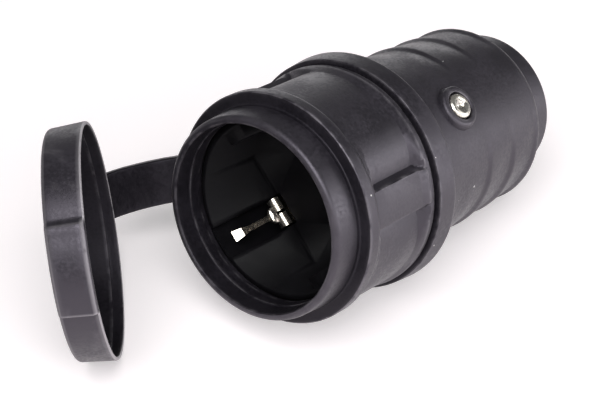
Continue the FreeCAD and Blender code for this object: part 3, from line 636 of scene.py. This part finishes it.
@dataclass(frozen=True)
class PlasticFinish(Finish):
    """Fine matt black moulded plastic."""

    tones: tuple[Colour, Colour] = ((0.0036, 0.0034, 0.0042), (0.0062, 0.0058, 0.0072))
    rough: Span = (0.45, 0.6)
    fine: float = 3200.0
    broad: float = 140.0
    bump: float = 0.08
    bump_depth: float = 0.08
    shine: float = 0.12

    def constants(self) -> dict[str, object]:
        """Strength of the sheen."""
        return {"Specular IOR Level": self.shine}


@dataclass(frozen=True)
class MetalFinish(Finish):
    """Plain or plated metal with a fine grain and a little tarnish."""

    fine: float = 5200.0
    broad: float = 420.0
    bump: float = 0.05
    bump_depth: float = 0.04

    def constants(self) -> dict[str, object]:
        """Fully metallic throughout."""
        return {"Metallic": 1.0}


class Finishes:
    """Every finish of the object, built once."""

    def __init__(self) -> None:
        """Build all materials."""
        groups = SurfaceGroups()
        made = {
            Slot.SLEEVE: RubberFinish(scuff=0.05),
            Slot.HOOD: RubberFinish(),
            # The lid's paler, fuller edge colour is a painted highlight on its rim and lug edges.
            Slot.LID: RubberFinish(rub_and_highlight_colour=(0.40, 0.38, 0.40), rub_and_highlight=1.0, rub_and_highlight_fill=0.22, speck_share=0.02),
            Slot.SEAL: RubberFinish(speck_share=0.0),
            Slot.PLASTIC: PlasticFinish(),
            Slot.BRASS: MetalFinish(((0.72, 0.53, 0.26), (0.55, 0.38, 0.17)), (0.22, 0.38)),
            Slot.CLIP: MetalFinish(((0.93, 0.88, 0.80), (0.76, 0.70, 0.60)), (0.14, 0.28)),
            Slot.SPRING: MetalFinish(((0.50, 0.50, 0.52), (0.36, 0.36, 0.38)), (0.28, 0.42)),
            Slot.HOOD_SCREW: MetalFinish(((0.94, 0.91, 0.85), (0.80, 0.75, 0.66)), (0.16, 0.3)),
            Slot.SCREW: MetalFinish(((0.62, 0.61, 0.58), (0.48, 0.47, 0.44)), (0.28, 0.42)),
        }
        self.by_slot = {slot: finish.material(slot.value + "_finish", groups) for slot, finish in made.items()}
        strap = RubberFinish(rub_and_highlight=0.0, scuff=0.05, shine=0.48, speck_share=0.02)
        # Duller, less shiny copy of the rubber that paints shade into hollows, corners and gaps.
        inside = RubberFinish(rub_and_highlight=0.35, scuff=0.0, shine=0.22, speck_share=0.0)
        self.strap = strap.material("strap_rubber_finish", groups)
        self.inside = inside.material("hollow_shade_rubber_finish", groups)

    def __getitem__(self, slot: Slot) -> Material:
        """Finish of one slot."""
        return self.by_slot[slot]


def signed_turn(angle: float, middle: float) -> float:
    """Turn from one roll angle to another, from -180 to 180 degrees."""
    return (angle - middle + 180.0) % 360.0 - 180.0


def soft_min(first: float, second: float, blend: float) -> float:
    """Smaller of two values, rounded off where they cross."""
    h = max(blend - abs(first - second), 0.0) / blend
    return min(first, second) - h * h * blend / 4.0


@dataclass(frozen=True)
class StrapSizes:
    """Where the strap leaves the lid and meets the sleeve, and its section, in millimetres and degrees."""

    width: float = 11.0
    thick: float = 2.0
    edge_round: float = 0.3
    tab_out: float = 28.2
    tab_y: float = -4.9
    root_out: float = 26.6
    root_y: float = 19.2
    root_deg: float = 5.0


STRAP = StrapSizes()


@dataclass
class SocketSleeve:
    """Front rubber sleeve with its lip, collar, gripped waist, rear flange and strap lug."""

    lip_r: float = 23.5
    lip_root_r: float = 23.9
    lip_length: float = 7.5
    lip_round: float = 1.15
    mouth_r: float = 21.7
    mouth_lead: float = 4.5
    bore_r: float = 21.4
    bore_round: float = 0.1
    seat_r: float = 22.2
    collar_r: float = 26.85
    collar_width: float = 3.0
    collar_slope: float = 1.2
    slope_round: float = 0.8
    waist_r: float = 25.9
    waist_end: float = 20.6
    waist_round: float = 0.35
    flange_r: float = 26.5
    flange_ramp: float = 2.2
    flange_back: float = 24.4
    spigot_r: float = 23.4
    spigot_end: float = 30.9
    spigot_skin: float = 0.3
    edge_round: float = 0.4
    pad_count: int = 3
    pad_roll: float = 16.0
    pad_half: float = 4.2
    pad_side: float = 0.5
    scoop_depth: float = 2.0
    scoop_from: float = 11.5
    scoop_reach: float = 38.0
    scoop_front: float = 5.8
    scoop_lead: float = 0.6
    scoop_back: float = 20.8
    scoop_ramp: float = 0.85
    scoop_blend: float = 0.08
    lug_sink: float = 1.2
    mouth_shade: float = 0.36
    lip_shade: float = 0.02
    corner_shade: Span = (-0.7, 0.5)
    collar_shade: float = 0.3
    flange_shade: float = 0.05
    steps: int = 420
    row: float = 0.6

    def corners(self) -> list[Corner]:
        """Outline of the sleeve's wall, from the mouth round the outside and back through the bore.

        Returns:
            Radius, place along the axis and corner radius of each point.
        """
        bore_front = self.mouth_lead - self.lip_length
        slope_end = self.collar_width + self.collar_slope
        ramp_end = self.waist_end + self.flange_ramp
        edge, crisp = self.edge_round, self.bore_round
        return [
            (self.mouth_r, -self.lip_length, edge), (self.lip_r, -self.lip_length, self.lip_round),
            (self.lip_root_r, 0.0, edge), (self.collar_r, 0.0, edge),
            (self.collar_r, self.collar_width, self.slope_round), (self.waist_r, slope_end, self.slope_round),
            (self.waist_r, self.scoop_front, 0.0), (self.waist_r, self.waist_end, self.waist_round),
            (self.flange_r, ramp_end, edge), (self.flange_r, self.flange_back, edge),
            (self.spigot_r, self.flange_back, 0.0), (self.spigot_r, self.spigot_end, edge),
            (self.seat_r, self.spigot_end, 0.0), (self.seat_r, 0.0, 0.0), (self.bore_r, 0.0, crisp),
            (self.bore_r, bore_front, crisp), (self.mouth_r, bore_front, crisp),
        ]

    def pad_rolls(self) -> list[float]:
        """Roll angle of the middle of every grip pad."""
        return [self.pad_roll + 360.0 / self.pad_count * i for i in range(self.pad_count)]

    def wall_rolls(self) -> list[float]:
        """Roll angles of the upper and lower edges of every pad's side walls.

        Returns:
            Four angles for each pad, in degrees.
        """
        top = math.degrees(math.asin(self.pad_half / self.waist_r))
        low = self.waist_r - self.scoop_depth
        foot = math.degrees(math.asin((self.pad_half + self.pad_side * self.scoop_depth) / low))
        return [middle + turn for middle in self.pad_rolls() for turn in (-foot, -top, top, foot)]

    def scooped_radius(self, radius: float, y: float, roll: float) -> float:
        """Radius of the waist, where a shallow scoop beside a grip pad may be cut into it.

        Args:
            radius: Radius of the turned skin.
            y: Place along the axis.
            roll: Roll angle in degrees.

        Returns:
            The radius with the scoop.
        """
        if radius < self.spigot_r + self.spigot_skin or not self.collar_width < y < self.flange_back:
            return radius
        apart = min(abs(signed_turn(roll, middle)) for middle in self.pad_rolls())
        ramp = max(0.0, (self.scoop_front - y) / self.scoop_lead, (y - self.scoop_back) / self.scoop_ramp)
        fade = max(self.scoop_reach - apart, 0.0) / (self.scoop_reach - self.scoop_from)
        scoop = self.waist_r - self.scoop_depth * fade**2 + ramp
        wall = (self.pad_half + self.pad_side * self.waist_r) / (math.sin(math.radians(apart)) + self.pad_side)
        return soft_min(radius, max(scoop, wall), self.scoop_blend)

    def in_hollow(self, radius: float, y: float) -> bool:
        """Whether a face is in the mouth, in the corner round the lip or in the gap before the hood.

        Args:
            radius: Radius of the face's middle.
            y: Its place along the axis.

        Returns:
            True where the duller finish that paints shade goes.
        """
        front, back = self.corner_shade
        mouth = radius < self.mouth_r + self.mouth_shade and y > self.lip_shade - self.lip_length
        corner = self.lip_r < radius < self.collar_r - self.collar_shade and front < y < back
        return mouth or corner or y > self.flange_back - self.flange_shade

    def build(self, finishes: Finishes) -> None:
        """Make the sleeve and set it on the connector.

        Args:
            finishes: The materials.
        """
        shape = Shape()
        shape.outline(self.corners(), True, self.row)
        shape.turn(self.steps)
        shape.gather(self.wall_rolls(), 360.0 / self.steps)
        shape.carve(self.scooped_radius)
        lug = Shape()
        reach = STRAP.root_out - self.waist_r + self.lug_sink
        lug.block((reach, STRAP.thick, STRAP.width), Matrix.Translation((reach / 2.0, 0.0, 0.0)), STRAP.edge_round)
        turn = Matrix.Rotation(math.radians(STRAP.root_deg), 4, "Z")
        foot = Matrix.Translation((-STRAP.root_out, STRAP.root_y, 0.0))
        shape.join(lug, roll_by(ATTITUDE.strap_roll) @ foot @ turn)
        piece = shape.finish("front_sleeve", ATTITUDE.tilted())
        settle(piece, Body.CONNECTOR, finishes[Slot.SLEEVE], "socket_sleeve")
        # The mouth, the corner round the lip and the gap before the hood get painted shade.
        shade_hollow(piece, ATTITUDE.tilted(), finishes.inside, self.in_hollow)


@dataclass
class RearHood:
    """Rear rubber hood with its grip ring, waved barrel, screw boss and stepped tail."""

    front: float = 25.1
    counter_r: float = 25.55
    counter_end: float = 26.0
    ring_front_r: float = 27.5
    ring_r: float = 27.95
    ring_y: float = 30.5
    ring_back: float = 34.0
    ring_round: float = 0.8
    barrel_front_r: float = 23.8
    barrel_end_r: float = 22.4
    barrel_end: float = 77.0
    barrel_round: float = 2.6
    tail_r: float = 18.0
    tail_end: float = 86.9
    tail_round: float = 0.7
    tail_bore_r: float = 13.15
    spigot_bore_r: float = 23.55
    room_front: float = 31.6
    room_front_r: float = 22.2
    room_end: float = 73.6
    room_end_r: float = 19.6
    edge_round: float = 0.4
    wave_count: int = 3
    wave_first: float = 52.2
    wave_pitch: float = 10.7
    wave_depth: float = 0.95
    wave_run: float = 8.6
    wave_rise: float = 1.8
    wave_offset: float = 1.5
    wave_skin: float = 2.4
    wave_blend: float = 0.18
    screw_y: float = 44.8
    boss_r: float = 5.0
    boss_top: float = 24.9
    boss_flare: float = 0.6
    boss_sink: float = 1.4
    boss_round: float = 0.8
    head_hole_r: float = 3.5
    head_hole_depth: float = 1.7
    head_hole_round: float = 0.25
    shank_hole_r: float = 2.1
    front_shade: float = 0.15
    steps: int = 300
    row: float = 0.6
    boss_steps: int = 96
    boss_row: float = 1.0

    def corners(self) -> list[Corner]:
        """Outline of the hood's wall, outside and inside."""
        edge = self.edge_round
        return [
            (self.counter_r, self.front, 0.0), (self.ring_front_r, self.front, edge),
            (self.ring_r, self.ring_y, self.ring_round), (self.barrel_front_r, self.ring_back, self.ring_round),
            (self.barrel_end_r, self.barrel_end, self.barrel_round), (self.tail_r, self.barrel_end, edge),
            (self.tail_r, self.tail_end, self.tail_round), (self.tail_bore_r, self.tail_end, edge),
            (self.tail_bore_r, self.room_end, 0.0), (self.room_end_r, self.room_end, 0.0),
            (self.room_front_r, self.room_front, 0.0), (self.spigot_bore_r, self.room_front, 0.0),
            (self.spigot_bore_r, self.counter_end, 0.0), (self.counter_r, self.counter_end, 0.0),
        ]

    def barrel_r(self, y: float) -> float:
        """Outer radius of the tapering barrel."""
        share = (y - self.ring_back) / (self.barrel_end - self.ring_back)
        return self.barrel_front_r + share * (self.barrel_end_r - self.barrel_front_r)

    def waved_radius(self, radius: float, y: float, roll: float) -> float:
        """Radius of the barrel with its crescent waves on both sides.

        Args:
            radius: Radius of the turned skin.
            y: Place along the axis.
            roll: Roll angle in degrees.

        Returns:
            The radius with the waves.
        """
        if radius < self.barrel_end_r - self.wave_skin or not self.ring_back < y < self.barrel_end:
            return radius
        side = min(abs(signed_turn(roll, ATTITUDE.insert_roll + quarter)) for quarter in (-90.0, 90.0))
        lift = self.wave_offset * (1.0 - math.cos(math.radians(side)))
        result = radius
        for i in range(self.wave_count):
            valley = self.wave_first + self.wave_pitch * i
            run = y - valley
            climb = run / self.wave_rise if run > 0.0 else -run / self.wave_run
            cut = self.barrel_r(valley) - self.wave_depth + self.wave_depth * climb + lift
            if cut < result + self.wave_blend:
                result = soft_min(result, cut, self.wave_blend)
        return result

    def boss(self) -> Shape:
        """Round collar that stands out of the barrel round the hood screw.

        Returns:
            The collar, drawn on the Y axis.
        """
        foot = self.barrel_r(self.screw_y) - self.boss_sink
        seat = self.boss_top - self.head_hole_depth
        shape = Shape()
        shape.outline([(self.boss_r + self.boss_flare, foot, 0.0), (self.boss_r, self.boss_top, self.boss_round),
                       (self.head_hole_r, self.boss_top, self.head_hole_round), (self.head_hole_r, seat, 0.0),
                       (self.shank_hole_r, seat, 0.0), (self.shank_hole_r, foot, 0.0)], True, self.boss_row)
        shape.turn(self.boss_steps)
        return shape

    def build(self, finishes: Finishes) -> None:
        """Make the hood and set it on the connector.

        Args:
            finishes: The materials.
        """
        shape = Shape()
        shape.outline(self.corners(), True, self.row)
        shape.turn(self.steps)
        shape.carve(self.waved_radius)
        upright = Matrix.Translation((0.0, self.screw_y, 0.0)) @ Matrix.Rotation(math.radians(90.0), 4, "X")
        shape.join(self.boss(), roll_by(ATTITUDE.insert_roll - 90.0) @ upright)
        piece = shape.finish("rear_hood_shell", ATTITUDE.tilted())
        settle(piece, Body.CONNECTOR, finishes[Slot.HOOD], "rear_hood")
        # The hood's front face in the gap behind the sleeve gets painted shade.
        shade_hollow(piece, ATTITUDE.tilted(), finishes.inside, lambda r, y: y < self.front + self.front_shade)


@dataclass
class SocketLid:
    """Round rubber lid with its finger lug and strap tab, standing open."""

    outer_r: float = 26.2
    back_r: float = 25.5
    rim_r: float = 25.3
    ledge_r: float = 25.0
    ledge_depth: float = 2.5
    ledge_round: float = 0.1
    floor_r: float = 24.75
    depth: float = 8.6
    back_thick: float = 1.0
    back_round: float = 1.0
    edge_round: float = 0.4
    seat_gap: float = 0.3
    lug_height: float = 1.0
    lug_half_deg: float = 23.0
    lug_roll: float = 6.2
    lug_rise_deg: float = 3.6
    lug_foot_deg: float = 1.0
    lug_rim_share: float = 0.35
    lug_slope: float = 1.6
    bulge: float = 0.2
    bulge_in_deg: float = 5.0
    bulge_deg: float = 2.6
    rim_edge: float = 0.5
    rim_hold: float = 0.3
    wall_hold: float = 1.6
    wall_skin: float = 0.8
    floor_edge: float = 0.2
    tab_sink: float = 0.6
    rim_shade: float = 0.05
    steps: int = 360
    row: float = 0.9

    def corners(self) -> list[Corner]:
        """Outline of the cup from the middle of its back to the middle of its hollow.

        Returns:
            Radius, place along the axis and corner radius of each point.
        """
        rim = -self.seat_gap
        back = rim - self.depth
        ledge = rim - self.ledge_depth
        floor = back + self.back_thick
        return [
            (0.0, back, 0.0), (self.back_r, back, self.back_round), (self.outer_r, rim, self.edge_round),
            (self.rim_r, rim, self.edge_round), (self.rim_r, ledge, self.ledge_round),
            (self.ledge_r, ledge, self.ledge_round), (self.floor_r, floor, self.edge_round), (0.0, floor, 0.0),
        ]

    def lugged_radius(self, radius: float, y: float, roll: float) -> float:
        """Radius of the wall where the finger lug stands on it.

        Args:
            radius: Radius of the turned skin.
            y: Place along the axis.
            roll: Roll angle in degrees.

        Returns:
            The radius with the lug.
        """
        rim = -self.seat_gap
        back = rim - self.depth
        below_rim = rim - self.rim_edge
        wall_r = self.back_r + (y - back) / self.depth * (self.outer_r - self.back_r)
        inside = self.rim_r + self.rim_hold if y > below_rim else wall_r - self.wall_hold
        in_cup = back + self.back_thick - self.floor_edge < y < below_rim
        if radius <= inside or (radius < wall_r - self.wall_skin and in_cup):
            return radius
        share = min((radius - inside) / (wall_r - inside), 1.0)
        turn = signed_turn(roll, self.lug_roll)
        upper = min(max((self.lug_half_deg - turn) / self.lug_rise_deg, 0.0), 1.0)
        lower = min(max((turn + self.lug_half_deg) / self.lug_foot_deg + 0.5, 0.0), 1.0)
        bulge = self.bulge * math.exp(-((self.lug_half_deg - self.bulge_in_deg - turn) / self.bulge_deg) ** 2)
        slope = min(self.lug_rim_share + (rim - y) / self.lug_slope, 1.0)
        height = (self.lug_height * upper * upper * (3.0 - 2.0 * upper) + bulge) * slope
        return radius + height * share * lower

    def build(self, finishes: Finishes) -> None:
        """Make the lid and set it on its body.

        Args:
            finishes: The materials.
        """
        shape = Shape()
        shape.outline(self.corners(), False, self.row)
        shape.turn(self.steps)
        foot = self.lug_roll - self.lug_half_deg
        shape.gather((foot - self.lug_foot_deg / 2.0, foot + self.lug_foot_deg / 2.0), 360.0 / self.steps)
        shape.carve(self.lugged_radius)
        tab = Shape()
        root = self.rim_r + self.tab_sink
        reach = STRAP.tab_out - root
        middle = Matrix.Translation((-root - reach / 2.0, STRAP.tab_y, 0.0))
        tab.block((reach, STRAP.thick, STRAP.width), middle, STRAP.edge_round)
        shape.join(tab, Matrix.Identity(4))
        place = ATTITUDE.rolled(ATTITUDE.strap_roll) @ ATTITUDE.opened()
        piece = shape.finish("lid_cup", place)
        settle(piece, Body.LID, finishes[Slot.LID], "lid")
        # The lid's hollow gets painted shade.
        floor = self.back_thick / 2.0 - self.seat_gap - self.depth
        shade_hollow(piece, place, finishes.inside, lambda r, y: r < self.rim_r + self.rim_shade and y > floor)


@dataclass
class LidStrap:
    """Flat rubber strap that bows out from the lid's tab and in again to the sleeve."""

    bow_lid: float = 8.2
    bow_root: float = 17.0
    fold_angle: float = 1.2
    round_segments: int = 2
    through: int = 2
    across: int = 12
    steps: int = 64

    def poles(self) -> list[Vector]:
        """Four poles of the strap's middle line at rest.

        Returns:
            The poles from the lid to the sleeve, in millimetres.
        """
        opened = ATTITUDE.opened()
        start = opened @ (Vector((-STRAP.tab_out, STRAP.tab_y, 0.0)) * MM) / MM
        leaving = opened.to_3x3() @ Vector((-1.0, 0.0, 0.0))
        end = Vector((-STRAP.root_out, STRAP.root_y, 0.0))
        arriving = Matrix.Rotation(math.radians(STRAP.root_deg), 3, "Z") @ Vector((1.0, 0.0, 0.0))
        return [start, start + leaving * self.bow_lid, end - arriving * self.bow_root, end]

    def section(self, share: float) -> Matrix:
        """Frame of the strap's cross-section.

        Args:
            share: Place along the middle line, from 0 at the lid to 1 at the sleeve.

        Returns:
            Frame with X along the strap and Z across it.
        """
        a, b, c, d = self.poles()
        back = 1.0 - share
        place = a * back**3 + b * (3.0 * back**2 * share) + c * (3.0 * back * share**2) + d * share**3
        along = (b - a) * back**2 + (c - b) * (2.0 * back * share) + (d - c) * share**2
        along.normalize()
        aside = Vector((-along.y, along.x, 0.0))
        section = Matrix((along, aside, Vector((0.0, 0.0, 1.0)))).transposed().to_4x4()
        section.translation = place
        return section

    def build(self, finishes: Finishes) -> None:
        """Make the strap, fixed where it lies at rest, on neither body.

        Args:
            finishes: The materials.
        """
        shape = Shape()
        bm = shape.bm
        frames = [self.section(i / self.steps) for i in range(self.steps + 1)]
        upright = Matrix.Rotation(math.radians(90.0), 4, "Y") @ Matrix.Rotation(math.radians(90.0), 4, "Z")
        spread = Matrix.Diagonal((STRAP.thick, STRAP.width, 1.0, 1.0))
        made = bmesh.ops.create_grid(bm, x_segments=self.through, y_segments=self.across, size=0.5,
                                     matrix=frames[0] @ upright @ spread)
        faces = list({f for v in made["verts"] for f in v.link_faces})
        for here, ahead in zip(frames, frames[1:]):
            grown = bmesh.ops.extrude_face_region(bm, geom=faces, use_keep_orig=here == frames[0])
            verts = [g for g in grown["geom"] if isinstance(g, bmesh.types.BMVert)]
            bmesh.ops.transform(bm, matrix=ahead @ here.inverted(), verts=verts)
            faces = [g for g in grown["geom"] if isinstance(g, bmesh.types.BMFace)]
        shape.tidy()
        long_edges = [e for e in bm.edges if len(e.link_faces) == 2 and e.calc_face_angle() > self.fold_angle]
        bmesh.ops.bevel(bm, geom=long_edges, offset=STRAP.edge_round, offset_type="OFFSET", affect="EDGES",
                        segments=self.round_segments, profile=BEVEL_PROFILE, material=-1)
        rolled = ATTITUDE.rolled(ATTITUDE.strap_roll)
        piece = shape.finish("lid_strap_band", rolled)
        piece.data.materials.append(finishes.strap)
        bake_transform(piece)
        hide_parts("lid_strap")
        LOG.info("%s: %d faces between both bodies", piece.name, len(piece.data.polygons))


class InnerWorks:
    """Pieces that keep their CAD shape: a merged smooth copy where one shows, the node itself where it is hidden."""

    shown: dict[str, Slot] = {
        "socket_insert": Slot.PLASTIC, "earth_bracket": Slot.CLIP, "hood_screw": Slot.HOOD_SCREW,
        "cable_grommet": Slot.SEAL, "seal_ring": Slot.SEAL,
    }
    hidden: dict[str, Slot] = {
        "terminal_carrier": Slot.PLASTIC, "cord_clamp": Slot.PLASTIC, "line_contact": Slot.BRASS,
        "neutral_contact": Slot.BRASS, "earth_terminal": Slot.BRASS, "hood_screw_nut": Slot.BRASS,
        "line_contact_spring": Slot.SPRING, "neutral_contact_spring": Slot.SPRING,
        "line_terminal_screw": Slot.SCREW, "neutral_terminal_screw": Slot.SCREW,
        "earth_terminal_screw": Slot.SCREW, "insert_screws": Slot.SCREW, "cord_clamp_screws": Slot.SCREW,
    }

    def build(self, finishes: Finishes) -> None:
        """Dress every remaining node.

        Args:
            finishes: The materials.
        """
        for node, slot in self.shown.items():
            bm = bmesh.new()
            bm.from_mesh(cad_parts[node].data)
            bmesh.ops.remove_doubles(bm, verts=bm.verts[:], dist=MERGE_DISTANCE)
            mesh = bpy.data.meshes.new(node + "_skin")
            bm.to_mesh(mesh)
            bm.free()
            settle(shaded(node + "_skin", mesh), Body.CONNECTOR, finishes[slot], node)
        for node, slot in self.hidden.items():
            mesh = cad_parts[node].data
            mesh.materials.clear()
            mesh.materials.append(finishes[slot])
            LOG.info("%s: CAD node with %s", node, slot.value)


@dataclass(frozen=True)
class Lamp:
    """One soft white area lamp, aimed at the socket, in metres and watts."""

    name: str
    place: Place
    size: Span
    power: float
    aim: Place = (0.0, 0.03, 0.0)

    def build(self) -> None:
        """Put the lamp in the scene."""
        data = bpy.data.lights.new(self.name, "AREA")
        data.shape = "RECTANGLE"
        data.size, data.size_y = self.size
        data.energy = self.power
        lamp = bpy.data.objects.new(self.name, data)
        lamp.location = self.place
        lamp.rotation_mode = "QUATERNION"
        lamp.rotation_quaternion = (Vector(self.aim) - Vector(self.place)).to_track_quat("-Z", "Y")
        bpy.context.scene.collection.objects.link(lamp)


@dataclass
class Studio:
    """Pale floor, soft lamps, white surroundings and the camera."""

    focal: float = 108.0
    sensor: float = 36.0
    clip: Span = (0.01, 50.0)
    camera_place: Place = (0.19865, -0.25616, 0.22678)
    camera_right: Place = (0.77523, 0.62900, 0.05807)
    camera_forward: Place = (-0.49112, 0.65800, -0.57081)
    floor_half: float = 4.0
    floor_lift: float = 0.28
    paper: Colour = (0.95, 0.89, 0.905)
    sky: float = 0.17
    lamps: tuple[Lamp, ...] = (
        Lamp("key_softbox", (0.34, -0.62, 0.86), (0.9, 0.9), 12.6),
        Lamp("right_softbox", (1.00, -0.20, 0.45), (0.8, 0.5), 3.4),
        Lamp("back_softbox", (0.80, 0.80, 0.44), (0.8, 0.5), 1.4),
        Lamp("right_strip", (1.12, 0.76, 0.17), (0.9, 0.44), 5.4),
        Lamp("left_strip", (-0.95, 1.05, 0.12), (1.1, 0.4), 2.4),
    )

    def build(self) -> None:
        """Make the whole stage."""
        self.build_floor()
        self.build_sky()
        for lamp in self.lamps:
            lamp.build()
        self.build_camera()

    def build_floor(self) -> None:
        """White floor that keeps the object's shadow and reads as white to the camera."""
        bm = bmesh.new()
        bmesh.ops.create_grid(bm, x_segments=1, y_segments=1, size=self.floor_half,
                              matrix=Matrix.Translation((0.0, 0.0, ATTITUDE.floor_z * MM)))
        mesh = bpy.data.meshes.new("floor")
        bm.to_mesh(mesh)
        bm.free()
        floor = bpy.data.objects.new("floor", mesh)
        bpy.context.scene.collection.objects.link(floor)
        material = bpy.data.materials.new("floor_paper")
        material.use_nodes = True
        material.node_tree.nodes.clear()
        w = Wiring(material.node_tree)
        paper = w.add("ShaderNodeBsdfDiffuse", Color=opaque(self.paper))
        path = w.add("ShaderNodeLightPath")
        seen = w.math("MAXIMUM", path.outputs["Is Camera Ray"], path.outputs["Is Glossy Ray"])
        seen = w.math("MAXIMUM", seen, path.outputs["Is Transmission Ray"])
        lift = w.add("ShaderNodeEmission", Color=WHITE, Strength=w.math("MULTIPLY", seen, self.floor_lift))
        both = w.combine("ShaderNodeAddShader", {}, (paper.outputs[0], lift.outputs[0]))
        w.add("ShaderNodeOutputMaterial", Surface=both)
        mesh.materials.append(material)

    def build_sky(self) -> None:
        """Even white surroundings that fill the shade."""
        world = bpy.data.worlds.new("white_room")
        world.use_nodes = True
        world.node_tree.nodes.clear()
        bpy.context.scene.world = world
        w = Wiring(world.node_tree)
        light = w.add("ShaderNodeBackground", Color=WHITE, Strength=self.sky)
        w.add("ShaderNodeOutputWorld", Surface=light.outputs[0])

    def build_camera(self) -> None:
        """Camera at the photograph's viewing angle."""
        data = bpy.data.cameras.new("photo_camera")
        data.lens = self.focal
        data.sensor_width = self.sensor
        data.sensor_fit = "HORIZONTAL"
        data.clip_start, data.clip_end = self.clip
        camera = bpy.data.objects.new("photo_camera", data)
        right = Vector(self.camera_right).normalized()
        back = -Vector(self.camera_forward).normalized()
        up = back.cross(right)
        turn = Matrix((right, up, back)).transposed().to_4x4()
        turn.translation = Vector(self.camera_place)
        camera.matrix_world = turn
        bpy.context.scene.collection.objects.link(camera)
        bpy.context.scene.camera = camera


def main() -> None:
    """Build every piece and the stage round it."""
    logging.basicConfig(level=logging.INFO, format="%(name)s: %(message)s")
    bpy.context.scene.view_settings.view_transform = "Standard"
    finishes = Finishes()
    SocketSleeve().build(finishes)
    RearHood().build(finishes)
    SocketLid().build(finishes)
    LidStrap().build(finishes)
    InnerWorks().build(finishes)
    Studio().build()


if __name__ == "__main__":
    main()
